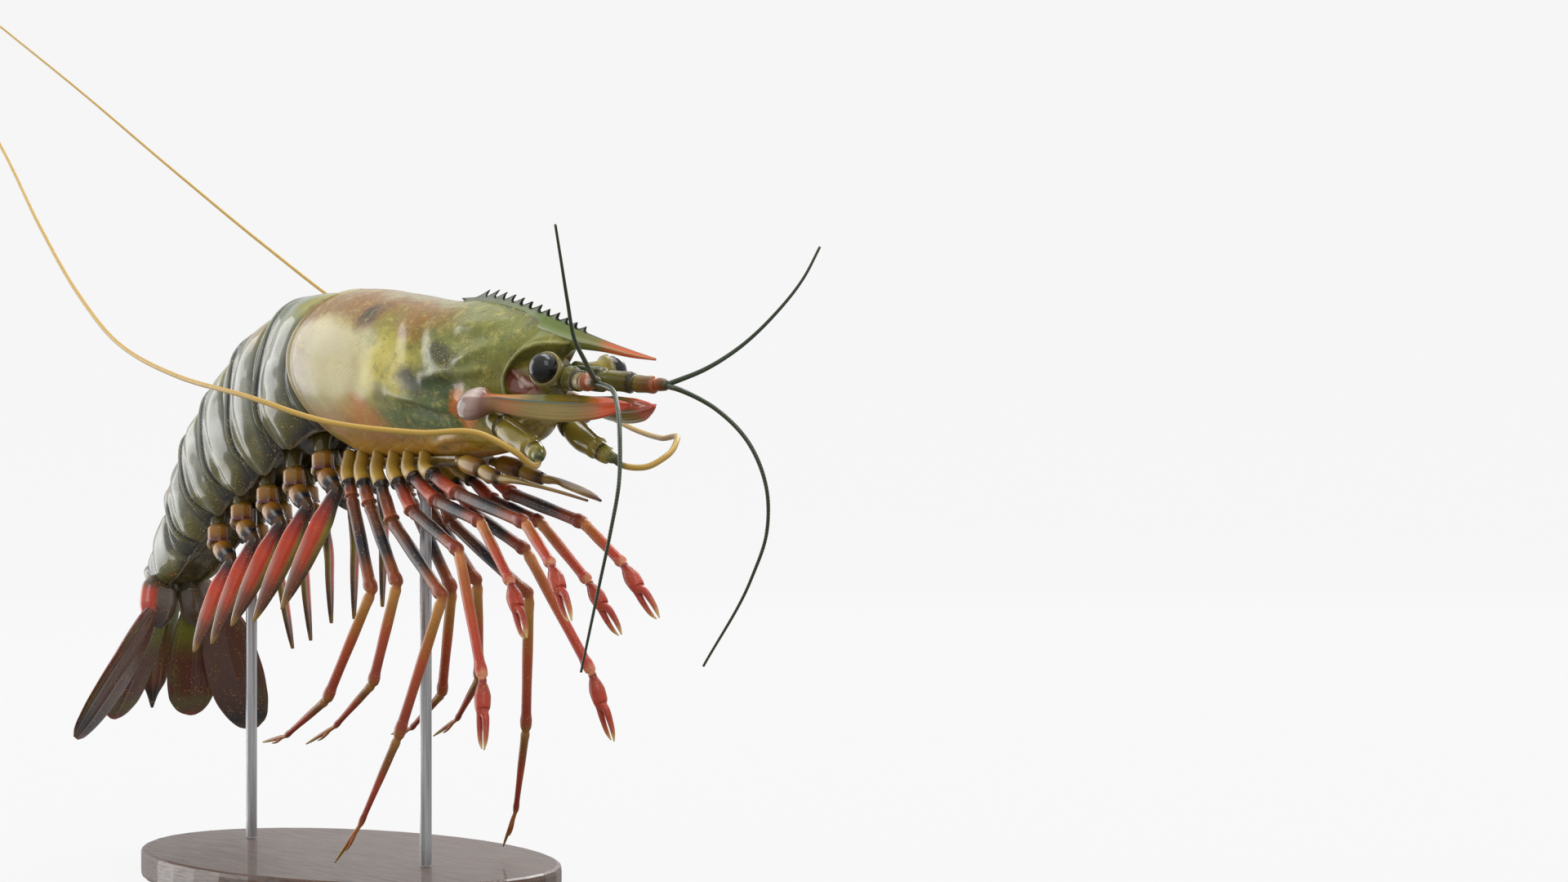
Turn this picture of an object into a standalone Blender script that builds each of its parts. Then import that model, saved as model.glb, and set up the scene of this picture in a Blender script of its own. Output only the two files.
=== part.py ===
"""A tiger prawn at life size, posed as if swimming slowly, on a plain display stand.

All sizes below are in millimetres and are turned into metres where the meshes are made.
The body's own axes: X towards the head, Y towards the prawn's left, Z up. The body's origin
lies inside the thorax, and the stand carries it at BODY_HEIGHT over the floor. The part's
origin is the middle of the stand's underside.
"""

import math

import bmesh
import bpy
from mathutils import Matrix, Vector

MM = 0.001
GAP = 0.3
LEFT, RIGHT = 1, -1
SIDES = ((LEFT, "left"), (RIGHT, "right"))
SHARP_ANGLE = 40.0

# Stand
BASE_LENGTH = 118.0
BASE_WIDTH = 74.0
BASE_THICKNESS = 6.0
BASE_EDGE = 1.0
BASE_SIDES = 40
ROD_RADIUS = 1.25
ROD_SIDES = 16
ROD_BLANK = 200.0
BODY_AHEAD = 10.0
BODY_HEIGHT = 108.0
FRONT_ROD_ALONG = 20.0
REAR_ROD_PLATE = 4
REAR_ROD_SHARE = 0.45

# Carapace: the shell over head and thorax, 61 mm from the eye socket to its rear margin
CARAPACE_SIDES = 24
CARAPACE_STATIONS = (
    # along, half width, top, bottom, how far the back and the belly lie ahead of the flanks
    (-9.5, 16.4, 18.6, -14.6, 7.5, 6.0),
    (-4.0, 17.0, 18.6, -16.2, 5.0, 4.0),
    (4.0, 17.2, 18.2, -17.0, 2.5, 2.0),
    (13.0, 16.9, 17.2, -17.0, 0.0, 0.0),
    (22.0, 16.3, 15.8, -17.0, 0.0, 0.0),
    (31.0, 15.2, 14.0, -17.0, 0.0, 0.0),
    (39.0, 13.9, 12.0, -17.0, 1.0, 1.0),
    (45.0, 12.8, 10.0, -16.6, 3.0, 3.0),
    (49.5, 11.6, 7.4, -15.8, 6.5, 5.0),
)
CARAPACE_SQUARENESS = 0.82
CARAPACE_TUCK = 0.42
CARAPACE_TUCK_CURVE = 2.5
CARAPACE_BACK_CURVE = 0.95

# Rostrum: the saw-edged beak, which starts as a crest on the carapace
ROSTRUM_STATIONS = (
    # along, lower edge, upper edge, half thickness
    (33.0, 13.9, 14.9, 0.5),
    (40.0, 12.4, 14.7, 0.9),
    (47.0, 10.7, 13.7, 1.3),
    (53.0, 8.9, 12.2, 1.7),
    (56.3, 7.8, 11.3, 1.9),
    (57.2, 5.2, 11.0, 2.3),
    (63.0, 4.3, 9.3, 2.2),
    (70.0, 2.9, 6.9, 1.7),
    (78.0, 1.9, 4.4, 1.1),
    (87.0, 0.4, 1.9, 0.6),
    (94.0, -0.4, 0.1, 0.25),
)
ROSTRUM_SHOULDER = 0.6
TOOTH_COUNT = 12
TOOTH_FIRST = 36.0
TOOTH_LAST = 68.5
TOOTH_LENGTH = 4.6
TOOTH_HEIGHT = 0.9
TOOTH_THICKNESS = 0.9
TOOTH_SINK = 0.8
TOOTH_HEEL = 0.6
TOOTH_WAIST = 1.2
TOOTH_TOE = 3.0
TOOTH_TOE_DROP = 0.2

# Head in front of the carapace, and the mouthparts under it
HEAD_SHARE = 0.72
HEAD_GAP = GAP * 1.4
MOUTH_SIDES = 12
HEAD_STATIONS = (
    # along, half width, top, bottom
    (56.0, 6.8, 3.6, -8.6),
    (60.5, 5.4, 2.6, -8.2),
    (66.0, 3.4, 1.6, -6.4),
)
MOUTH_STATIONS = (
    (56.6, 4.6, -9.1, -15.2),
    (59.0, 4.2, -9.0, -14.6),
    (62.5, 2.4, -8.9, -12.0),
)

# Eyes: balls 6 mm across, cut flat where they sit in the cup of a short stalk
EYE_CENTRE = (71.8, 8.2, -1.2)
EYE_RADIUS = 3.0
EYE_SEAT = 1.2
EYE_SEGMENTS = 14
EYE_ROWS = 10
STALK_ROOT = (66.0, 5.6, -0.8)
STALK_SIDES = 10
STALK_NECK = 0.6
STALK_CUP_DEPTH = 1.1
STALK_RADII = (2.0, 2.5, 3.2, 3.1)

# Antennules: a three-jointed stem with two whips
ANTENNULE_STEM = (
    # along, out, up, radius
    (66.9, 2.5, -3.4, 1.7),
    (70.5, 2.9, -3.9, 1.8),
    (75.0, 3.9, -4.0, 2.0),
    (75.6, 4.2, -4.0, 1.7),
    (80.6, 6.5, -4.1, 1.9),
    (81.2, 6.8, -4.1, 1.4),
    (85.4, 8.0, -4.3, 1.5),
    (86.0, 8.1, -4.3, 1.0),
    (88.8, 8.5, -4.4, 1.0),
)
UPPER_WHIP = (
    (88.2, 8.4, -4.5), (93.2, 14.6, -1.2), (96.5, 19.7, 2.7),
    (101.1, 24.8, 9.1), (104.7, 29.0, 16.1), (106.5, 31.6, 22.1),
)
LOWER_WHIP = (
    (88.2, 8.4, -4.6), (92.6, 8.6, -5.6), (99.0, 11.8, -9.2), (104.2, 15.3, -15.4),
    (106.8, 17.6, -23.8), (105.8, 18.7, -32.3), (101.9, 18.1, -41.5), (91.9, 14.7, -58.2),
)
WHIP_RADII = (0.55, 0.25)
WHIP_SPACING = 4.0
WHIP_SIDES = 6
WHIP_TAPER = 0.7
WHIP_ACROSS = (0.1, 0.2, 1.0)
ANTENNULE_SIDES = 8

# Antennae: a stout stem low on each side and a long whip that sweeps back
ANTENNA_STEM = (
    (54.6, 7.4, -10.9, 1.7),
    (57.2, 7.8, -12.2, 1.9),
    (57.9, 7.8, -12.5, 1.7),
    (63.0, 8.0, -14.4, 2.0),
    (69.0, 8.1, -16.5, 1.7),
    (69.6, 8.3, -16.9, 1.4),
    (71.4, 9.0, -18.3, 1.2),
)
LONG_WHIP = (
    (71.9, 9.6, -19.0), (75.3, 13.7, -19.9), (76.6, 18.4, -17.5), (73.4, 23.4, -14.3),
    (61.0, 29.6, -13.7), (43.3, 37.2, -11.6), (20.3, 42.2, -6.0), (-6.9, 42.4, -1.0),
    (-34.0, 40.4, 6.4), (-62.8, 35.2, 19.0), (-92.4, 29.4, 36.4), (-124.0, 22.6, 56.8),
    (-160.0, 16.4, 79.6), (-198.0, 11.0, 102.0),
)
LONG_WHIP_RADII = (0.65, 0.28)
LONG_WHIP_SPACING = 7.0
ANTENNA_SIDES = 10

# Antennal scales: the pointed plates that close the front of the head
SCALE_STATIONS = (
    # along, out, up, half width, half thickness
    (51.6, 13.6, -7.4, 2.6, 0.9),
    (54.0, 12.9, -7.6, 4.0, 2.0),
    (57.4, 11.9, -8.0, 3.8, 2.0),
    (61.0, 11.0, -8.6, 2.9, 1.3),
    (68.0, 9.2, -9.0, 3.2, 1.0),
    (76.0, 7.2, -9.2, 3.2, 0.9),
    (84.0, 5.0, -9.1, 2.6, 0.8),
    (89.0, 3.6, -8.9, 1.4, 0.6),
    (91.8, 2.8, -8.8, 0.3, 0.3),
)
SCALE_ACROSS = (0.0, -0.55, 0.83)
SCALE_SIDES = 10

# Maxillipeds: the jointed mouth feet, ending in a slender leaf
MAXILLIPED_STATIONS = (
    (37.9, 4.2, -18.5, 1.2, 0.9),
    (39.4, 4.3, -18.6, 1.3, 1.0),
    (42.4, 4.8, -19.4, 1.9, 1.8),
    (46.6, 4.8, -20.2, 1.8, 1.7),
    (47.2, 4.8, -20.5, 1.2, 1.2),
    (50.0, 5.1, -21.4, 1.6, 1.5),
    (53.0, 5.3, -22.0, 1.2, 1.1),
    (53.6, 5.3, -22.1, 0.8, 0.8),
    (58.0, 5.0, -22.5, 0.9, 0.7),
    (65.0, 3.8, -23.8, 1.6, 0.4),
    (71.5, 2.6, -25.2, 1.3, 0.35),
    (76.8, 1.6, -26.5, 0.3, 0.25),
)
MAXILLIPED_ACROSS = (0.75, 0.66, 0.0)
MAXILLIPED_SIDES = 8

# Underside of the thorax, which carries the legs
THORAX_REAR = -3.0
THORAX_FRONT = 37.5
THORAX_TOP = -17.0 - GAP
THORAX_BOTTOM = -19.6
THORAX_HALF_TOP = 7.5
THORAX_HALF_BOTTOM = 4.0

# Legs: root along the thorax, then for each joint its length, its dip below straight ahead
# and its splay outwards, in degrees. The joints are coxa, ischium, merus, carpus, propodus
# and, on the walking legs, the last claw.
PINCER_LEGS = (
    (28.5, ((5.2, 20, 8), (8.2, 26, -4), (24.3, 14, 1), (13.1, 37, 7), (13.9, 51, 8))),
    (22.5, ((4.7, 30, 8), (8.8, 31, -1), (16.1, 15, 1), (17.7, 42, 7), (13.3, 54, 9))),
    (17.0, ((5.3, 40, 8), (7.3, 49, 0), (19.5, 24, 3), (29.1, 58, 10), (14.5, 75, 10))),
)
WALKING_LEGS = (
    (11.0, ((5.3, 47, 8), (8.1, 62, 0), (27.7, 33, 7), (29.7, 106, 10), (20.1, 115, 10), (10.6, 130, 9))),
    (5.0, ((4.4, 50, 8), (4.6, 61, 2), (21.9, 49, 7), (21.0, 101, 9), (14.4, 140, 8), (10.7, 157, 4))),
    (0.0, ((3.9, 55, 8), (2.9, 68, 4), (23.0, 59, 7), (25.2, 114, 10), (16.0, 149, 5), (8.6, 168, 3))),
)
LEG_SIDES = 8
LEG_ACROSS = (0.0, 1.0, 0.0)
LEG_ROOT_GAP = GAP * 1.2
COXA_RADIUS = 1.6
COXA_START = 0.8
LEG_RADII = (1.45, 1.2, 1.3, 1.1, 0.95, 0.55)

# Each joint of a leg is narrow at its root, full at its middle and swells at its end
JOINT_ROOT_LENGTH = 1.6
JOINT_END_LENGTH = 1.4
JOINT_END_SHARE = 0.2
JOINT_MIDDLE = 0.55
JOINT_ROOT_SIZE = 0.85
JOINT_END_SIZE = 0.8
JOINT_END_SWELL = 1.1

# Pincers: a palm, then two fingers that bow apart from the hinge and close at their tips
FINGER_SHARE = 0.62
PALM_LENGTH = 1.5
PALM_RADII = (1.0, 1.25, 1.1)
FINGER_BOW = 0.77
FINGER_TIP_SPREAD = 0.5
FINGER_RADII = (0.65, 0.3)
THUMB_ROOT = 1.6
THUMB_SPREADS = (0.3, 0.6, 0.77, 0.7)
THUMB_SHORT = 0.6
THUMB_RADII = (0.6, 0.65, 0.55, 0.3)
THUMB_SIDES = 6

# Walking claws: a slender last joint with a spur beside it, at shares of the joint's length
CLAW_RADII = (0.5, 0.28)
SPUR_PLACES = (0.15, 0.35, 0.65)
SPUR_SPREADS = (0.0, 0.6, 1.3)
SPUR_RADII = (0.35, 0.4, 0.26)

# Abdomen: where each plate ends, from the carapace's rear margin to the telson
ABDOMEN_SIDES = 24
BOUNDARIES = (
    # back along, back up, lean back in degrees, height, half width
    (-2.6, 18.6, -6, 33.0, 16.4),
    (-20.4, 17.9, -3, 37.4, 14.2),
    (-39.0, 11.0, 13, 36.4, 13.4),
    (-54.4, 0.6, 23, 31.0, 12.2),
    (-65.0, -9.0, 30, 26.4, 11.4),
    (-74.6, -21.6, 42, 21.4, 9.6),
    (-88.4, -40.6, 56, 11.2, 6.0),
)
ABDOMEN_SQUARENESS = 0.8
ABDOMEN_NARROWING = 0.22
PLATE_TUCK = 0.9
PLATE_FLARE = 0.3
FIRST_PLATE_SHARE = 0.95
FIRST_PLATE_SHIFT = GAP * 1.6

# Depths of the lobes and of the raised belly, for a plate of this height
PLATE_HEIGHT = 30.0
LOBE_DEPTH = 1.8
LOBE_PLACE = 0.86
LOBE_REACH = 0.14
BELLY_RISE = 2.6
BELLY_PLACE = 0.9
PLATE_RINGS = (
    # place along the plate, move backwards, growth, lobe
    (0.0, GAP / 2, -PLATE_TUCK, -LOBE_DEPTH),
    (0.16, 0.0, -PLATE_TUCK * 0.3, -LOBE_DEPTH * 0.2),
    (0.45, 0.0, 0.0, LOBE_DEPTH),
    (0.8, 0.0, PLATE_FLARE * 0.5, LOBE_DEPTH * 0.7),
    (1.0, -GAP / 2, PLATE_FLARE, -LOBE_DEPTH * 0.4),
)

# Telson: the pointed middle blade of the tail fan
TAIL_SIDES = 10
TELSON_STATIONS = (
    # along, up, half width, half thickness
    (-86.9, -43.2, 4.0, 1.5),
    (-88.6, -46.5, 4.9, 1.9),
    (-90.6, -54.0, 4.6, 1.6),
    (-92.2, -62.0, 4.0, 1.3),
    (-93.4, -69.0, 3.1, 1.0),
    (-93.9, -72.5, 1.5, 0.6),
    (-94.2, -75.0, 0.3, 0.3),
)

# Uropods: a stem on each side with an inner and an outer blade
STEM_STATIONS = (
    (-81.6, 4.4, -47.4, 2.6, 1.9),
    (-81.2, 5.2, -48.8, 3.8, 2.3),
    (-80.8, 6.6, -51.0, 4.2, 2.2),
    (-80.8, 7.6, -52.6, 3.6, 1.5),
)
OUTER_BLADE = (
    (-78.8, 9.8, -54.2, 1.8, 0.7),
    (-79.4, 11.2, -57.2, 4.4, 0.9),
    (-80.8, 13.0, -61.5, 6.0, 0.9),
    (-82.6, 15.5, -67.0, 6.7, 0.7),
    (-84.6, 18.4, -72.5, 6.4, 0.6),
    (-86.2, 21.3, -77.4, 4.8, 0.5),
    (-87.2, 23.6, -80.6, 2.0, 0.4),
)
OUTER_ACROSS = (0.75, 0.56, 0.36)
INNER_BLADE = (
    (-83.6, 6.2, -54.4, 1.6, 0.7),
    (-85.2, 7.0, -57.6, 3.2, 0.9),
    (-87.4, 8.2, -62.4, 4.6, 0.8),
    (-89.6, 9.4, -67.6, 5.6, 0.6),
    (-91.6, 10.4, -72.4, 5.2, 0.5),
    (-93.4, 11.4, -76.2, 2.4, 0.4),
)
INNER_ACROSS = (0.23, 0.97, -0.08)

# Swimmerets: the paired swimming legs under the abdomen
SWIMMERETS = (
    # root along, root up, tip up, tip along
    (-12.5, -19.2, -49.4, -15.5),
    (-24.0, -22.6, -52.4, -26.8),
    (-35.0, -26.4, -53.6, -36.1),
    (-46.0, -30.2, -57.8, -44.7),
    (-56.0, -35.0, -59.9, -52.4),
)
SWIMMERET_OUT = 6.3
SWIMMERET_TIP_OUT = 12.8
SWIMMERET_ACROSS = (0.66, -0.75, 0.0)
SWIMMERET_SIDES = 8
SWIMMERET_KNEE = (4.5, 0.6, -6.0)
SWIMMERET_BULGE = (1.6, -0.4, 0.0)
BULGE_SHARE = 0.3
ROOT_STRETCH, KNEE_STRETCH, BLADE_STRETCH = 0, 1, 2
SWIMMERET_FORM = (
    # stretch, share of the way along it, half width, half thickness
    (ROOT_STRETCH, 0.0, 1.9, 1.9),
    (ROOT_STRETCH, 0.2, 2.3, 2.1),
    (ROOT_STRETCH, 0.28, 1.7, 1.7),
    (ROOT_STRETCH, 0.6, 2.1, 2.3),
    (KNEE_STRETCH, 0.0, 1.5, 1.5),
    (KNEE_STRETCH, 0.35, 1.0, 0.8),
    (BLADE_STRETCH, 0.0, 1.8, 0.5),
    (BLADE_STRETCH, 0.4, 1.8, 0.45),
    (BLADE_STRETCH, 0.75, 1.2, 0.4),
    (BLADE_STRETCH, 1.0, 0.3, 0.3),
)


def clear_scene():
    for thing in list(bpy.data.objects):
        bpy.data.objects.remove(thing, do_unlink=True)


def material(name, colour, roughness, metallic=0.0):
    """A Principled material with the part's colour, roughness and metallic value."""
    found = bpy.data.materials.get(name)
    if found:
        return found
    made = bpy.data.materials.new(name)
    made.use_nodes = True
    shader = made.node_tree.nodes["Principled BSDF"]
    shader.inputs["Base Color"].default_value = (*colour, 1.0)
    shader.inputs["Roughness"].default_value = roughness
    shader.inputs["Metallic"].default_value = metallic
    made.diffuse_color = (*colour, 1.0)
    return made


def new_collection(name):
    made = bpy.data.collections.new(name)
    bpy.context.scene.collection.children.link(made)
    return made


def add_object(name, mesh, collection, paint, parent=None):
    thing = bpy.data.objects.new(name, mesh)
    collection.objects.link(thing)
    thing.parent = parent
    if paint:
        mesh.materials.append(paint)
    return thing


def loft_mesh(name, rings):
    """A closed skin over rings of equal counts, with a fan over each end.

    The diagonals run alike on both faces, so that the faces of a thin curved blade stay apart.
    """
    count = len(rings[0])
    shape = bmesh.new()
    rows = [[shape.verts.new(point * MM) for point in ring] for ring in rings]
    for near, far in zip(rows[:-1], rows[1:]):
        for index in range(count):
            after = (index + 1) % count
            a, b, c, d = near[index], near[after], far[after], far[index]
            if index < count // 2:
                shape.faces.new((a, b, c))
                shape.faces.new((a, c, d))
            else:
                shape.faces.new((a, b, d))
                shape.faces.new((b, c, d))
    for row, ring in ((rows[0], rings[0]), (rows[-1], rings[-1])):
        middle = sum(ring, Vector()) / count
        hub = shape.verts.new(middle * MM)
        for index in range(count):
            shape.faces.new((row[index], row[(index + 1) % count], hub))
    bmesh.ops.recalc_face_normals(shape, faces=shape.faces)
    mesh = bpy.data.meshes.new(name)
    shape.to_mesh(mesh)
    shape.free()
    mesh.shade_smooth()
    mesh.set_sharp_from_angle(angle=math.radians(SHARP_ANGLE))
    return mesh


def limb_rings(path, sizes, across, sides):
    """Oval rings square to a path: sizes holds half width and half thickness at each point."""
    rings = []
    last = len(path) - 1
    for index, (centre, (width, thickness)) in enumerate(zip(path, sizes)):
        ahead = (path[min(index + 1, last)] - path[max(index - 1, 0)]).normalized()
        wide = (across - across.dot(ahead) * ahead).normalized()
        deep = ahead.cross(wide)
        ring = []
        for step in range(sides):
            turn = 2 * math.pi * step / sides
            ring.append(centre + wide * width * math.cos(turn) + deep * thickness * math.sin(turn))
        rings.append(ring)
    return rings


def limb_mesh(name, stations, across, sides, side=LEFT):
    """A jointed limb or blade from rows of along, out, up, half width and half thickness."""
    path = [Vector((row[0], row[1] * side, row[2])) for row in stations]
    sizes = [(row[3], row[4]) for row in stations]
    turned = Vector((across[0], across[1] * side, across[2]))
    return loft_mesh(name, limb_rings(path, sizes, turned, sides))


def smooth_path(points, spacing, side=LEFT):
    """Points at about even spacing on a smooth curve through the given ones."""
    knots = [Vector((p[0], p[1] * side, p[2])) for p in points]
    ends = [2 * knots[0] - knots[1]] + knots + [2 * knots[-1] - knots[-2]]
    path = [knots[0]]
    for index in range(1, len(ends) - 2):
        before, start, finish, beyond = ends[index - 1:index + 3]
        steps = max(1, round((finish - start).length / spacing))
        for step in range(1, steps + 1):
            t = step / steps
            path.append(0.5 * (2 * start + (finish - before) * t
                               + (2 * before - 5 * start + 4 * finish - beyond) * t ** 2
                               + (3 * start - before - 3 * finish + beyond) * t ** 3))
    return path


def whip_mesh(name, points, radii, spacing, side):
    """A feeler: a round whip through the points, thinning from the first radius to the last."""
    path = smooth_path(points, spacing, side)
    last = len(path) - 1
    sizes = []
    for index in range(last + 1):
        radius = radii[0] + (radii[1] - radii[0]) * (index / last) ** WHIP_TAPER
        sizes.append((radius, radius))
    return loft_mesh(name, limb_rings(path, sizes, Vector(WHIP_ACROSS), WHIP_SIDES))


def join_closed(name, pieces, collection, paint, parent=None):
    """One closed body from overlapping closed meshes, by one union of them all."""
    group = bpy.data.collections.new(name + "_pieces")
    bpy.context.scene.collection.children.link(group)
    body = add_object(name, pieces[0], collection, paint, parent)
    for index, mesh in enumerate(pieces[1:]):
        add_object(f"{name}_piece_{index}", mesh, group, None, parent)
    joint = body.modifiers.new("union", "BOOLEAN")
    joint.operation = "UNION"
    joint.operand_type = "COLLECTION"
    joint.collection = group
    joint.solver = "MANIFOLD"
    evaluated = body.evaluated_get(bpy.context.evaluated_depsgraph_get())
    joined = bpy.data.meshes.new_from_object(evaluated)
    body.modifiers.clear()
    body.data = joined
    keep_largest(joined)
    for piece in list(group.objects):
        bpy.data.objects.remove(piece, do_unlink=True)
    bpy.data.collections.remove(group)
    return body


def keep_largest(mesh):
    """Drop every loose closed surface but the one that spreads over the most points."""
    shape = bmesh.new()
    shape.from_mesh(mesh)
    shape.verts.ensure_lookup_table()
    unseen = set(shape.verts)
    islands = []
    while unseen:
        island = set()
        front = [unseen.pop()]
        while front:
            vert = front.pop()
            island.add(vert)
            for edge in vert.link_edges:
                other = edge.other_vert(vert)
                if other in unseen:
                    unseen.remove(other)
                    front.append(other)
        islands.append(island)
    if len(islands) > 1:
        def reach(island):
            return sum((vert.co - next(iter(island)).co).length for vert in island)
        best = max(islands, key=reach)
        loose = [vert for island in islands if island is not best for vert in island]
        bmesh.ops.delete(shape, geom=loose, context="VERTS")
    bmesh.ops.triangulate(shape, faces=shape.faces)
    shape.to_mesh(mesh)
    shape.free()


def shell_ring(along, width, top, bottom, back_ahead, belly_ahead, sides):
    """A ring of the carapace: a rounded arch that narrows to the flat underside."""
    ring = []
    height = top - bottom
    for step in range(sides):
        turn = 2 * math.pi * step / sides
        down = (1 - math.cos(turn)) / 2
        out = math.copysign(abs(math.sin(turn)) ** CARAPACE_SQUARENESS, math.sin(turn))
        narrow = 1 - CARAPACE_TUCK * down ** CARAPACE_TUCK_CURVE
        ahead = back_ahead if down < 0.5 else belly_ahead
        shift = ahead * math.cos(turn) ** 2
        up = top - height * down ** CARAPACE_BACK_CURVE
        ring.append(Vector((along + shift, width * narrow * out, up)))
    return ring


def make_carapace(collection, body, paint):
    rings = [shell_ring(*station, CARAPACE_SIDES) for station in CARAPACE_STATIONS]
    add_object("carapace", loft_mesh("carapace", rings), collection, paint, body)


def rostrum_ring(along, low, high, thickness):
    """A narrow six-sided blade section, widest at its middle."""
    middle = (low + high) / 2
    waist = (high - low) / 4
    shoulder = thickness * ROSTRUM_SHOULDER
    outline = ((0, high), (shoulder, middle + waist), (thickness, middle - waist),
               (0, low), (-thickness, middle - waist), (-shoulder, middle + waist))
    return [Vector((along, out, up)) for out, up in outline]


def rostrum_edge(along):
    """Height of the rostrum's upper edge at a place along it."""
    for near, far in zip(ROSTRUM_STATIONS[:-1], ROSTRUM_STATIONS[1:]):
        if near[0] <= along <= far[0]:
            share = (along - near[0]) / (far[0] - near[0])
            return near[2] + share * (far[2] - near[2])
    return ROSTRUM_STATIONS[-1][2]


def tooth_mesh(along):
    """One forward-leaning tooth, rooted in the rostrum's upper edge."""
    root = rostrum_edge(along) - TOOTH_SINK
    tip = Vector((along + TOOTH_LENGTH, 0, rostrum_edge(along + TOOTH_LENGTH) + TOOTH_HEIGHT))
    base = [Vector((along - TOOTH_HEEL, 0, root)),
            Vector((along + TOOTH_WAIST, TOOTH_THICKNESS / 2, root)),
            Vector((along + TOOTH_TOE, 0, root - TOOTH_TOE_DROP)),
            Vector((along + TOOTH_WAIST, -TOOTH_THICKNESS / 2, root))]
    shape = bmesh.new()
    foot = [shape.verts.new(point * MM) for point in base]
    peak = shape.verts.new(tip * MM)
    shape.faces.new(foot)
    for index in range(4):
        shape.faces.new((foot[index], foot[(index + 1) % 4], peak))
    bmesh.ops.recalc_face_normals(shape, faces=shape.faces)
    mesh = bpy.data.meshes.new("tooth")
    shape.to_mesh(mesh)
    shape.free()
    return mesh


def make_rostrum(collection, body, paint):
    blade = loft_mesh("rostrum", [rostrum_ring(*station) for station in ROSTRUM_STATIONS])
    pieces = [blade]
    for index in range(TOOTH_COUNT):
        share = index / (TOOTH_COUNT - 1)
        pieces.append(tooth_mesh(TOOTH_FIRST + share * (TOOTH_LAST - TOOTH_FIRST)))
    join_closed("rostrum", pieces, collection, paint, body)


def scaled_ring(ring, share, shift):
    """A smaller copy of a ring about its middle, moved along: it faces the larger ring's cap."""
    middle = sum(ring, Vector()) / len(ring)
    return [middle + (point - middle) * share + Vector((shift, 0, 0)) for point in ring]


def make_head(collection, body, paint):
    margin = shell_ring(*CARAPACE_STATIONS[-1], CARAPACE_SIDES)
    rings = [scaled_ring(margin, HEAD_SHARE, HEAD_GAP)]
    rings += [shell_ring(*station, 0.0, 0.0, CARAPACE_SIDES) for station in HEAD_STATIONS]
    add_object("head", loft_mesh("head", rings), collection, paint, body)
    rings = [shell_ring(*station, 0.0, 0.0, MOUTH_SIDES) for station in MOUTH_STATIONS]
    add_object("mouthparts", loft_mesh("mouthparts", rings), collection, paint, body)


def make_eye(side, word, collection, body, ball_paint, stalk_paint):
    centre = Vector((EYE_CENTRE[0], EYE_CENTRE[1] * side, EYE_CENTRE[2]))
    root = Vector((STALK_ROOT[0], STALK_ROOT[1] * side, STALK_ROOT[2]))
    axis = (centre - root).normalized()
    seat = centre - axis * EYE_SEAT
    shape = bmesh.new()
    bmesh.ops.create_uvsphere(shape, u_segments=EYE_SEGMENTS, v_segments=EYE_ROWS,
                              radius=EYE_RADIUS * MM)
    turn = axis.to_track_quat("Z", "Y").to_matrix().to_4x4()
    bmesh.ops.transform(shape, matrix=turn, verts=shape.verts)
    bmesh.ops.translate(shape, vec=centre * MM, verts=shape.verts)
    cut = bmesh.ops.bisect_plane(shape, geom=shape.verts[:] + shape.edges[:] + shape.faces[:],
                                 plane_co=seat * MM, plane_no=axis, clear_inner=True)
    rim = [item for item in cut["geom_cut"] if isinstance(item, bmesh.types.BMEdge)]
    bmesh.ops.holes_fill(shape, edges=rim)
    bmesh.ops.recalc_face_normals(shape, faces=shape.faces)
    mesh = bpy.data.meshes.new("eye_" + word)
    shape.to_mesh(mesh)
    shape.free()
    mesh.shade_smooth()
    add_object("eye_" + word, mesh, collection, ball_paint, body)
    path = [root, root.lerp(seat, STALK_NECK), seat - axis * STALK_CUP_DEPTH, seat - axis * GAP]
    sizes = [(radius, radius) for radius in STALK_RADII]
    rings = limb_rings(path, sizes, Vector((0, 0, 1)), STALK_SIDES)
    add_object("eyestalk_" + word, loft_mesh("eyestalk_" + word, rings), collection, stalk_paint, body)


def make_antennule(side, word, collection, body, paint):
    stem = [(x, y, z, radius, radius) for x, y, z, radius in ANTENNULE_STEM]
    pieces = [limb_mesh("antennule", stem, (0, 0, 1), ANTENNULE_SIDES, side)]
    for points in (UPPER_WHIP, LOWER_WHIP):
        pieces.append(whip_mesh("whip", points, WHIP_RADII, WHIP_SPACING, side))
    join_closed("antennule_" + word, pieces, collection, paint, body)


def make_antenna(side, word, collection, body, stem_paint, whip_paint):
    stem = [(x, y, z, radius, radius) for x, y, z, radius in ANTENNA_STEM]
    name = "antenna_stem_" + word
    mesh = limb_mesh(name, stem, (0, 0, 1), ANTENNA_SIDES, side)
    add_object(name, mesh, collection, stem_paint, body)
    name = "antenna_whip_" + word
    mesh = whip_mesh(name, LONG_WHIP, LONG_WHIP_RADII, LONG_WHIP_SPACING, side)
    add_object(name, mesh, collection, whip_paint, body)
    name = "antennal_scale_" + word
    scale = limb_mesh(name, SCALE_STATIONS, SCALE_ACROSS, SCALE_SIDES, side)
    add_object(name, scale, collection, stem_paint, body)


def make_maxilliped(side, word, collection, body, paint):
    name = "maxilliped_" + word
    mesh = limb_mesh(name, MAXILLIPED_STATIONS, MAXILLIPED_ACROSS, MAXILLIPED_SIDES, side)
    add_object(name, mesh, collection, paint, body)


def make_thorax(collection, body, paint):
    outline = ((THORAX_HALF_TOP, THORAX_TOP), (THORAX_HALF_BOTTOM, THORAX_BOTTOM),
               (-THORAX_HALF_BOTTOM, THORAX_BOTTOM), (-THORAX_HALF_TOP, THORAX_TOP))
    rings = [[Vector((along, out, up)) for out, up in outline] for along in (THORAX_REAR, THORAX_FRONT)]
    add_object("thorax_underside", loft_mesh("thorax_underside", rings), collection, paint, body)


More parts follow.
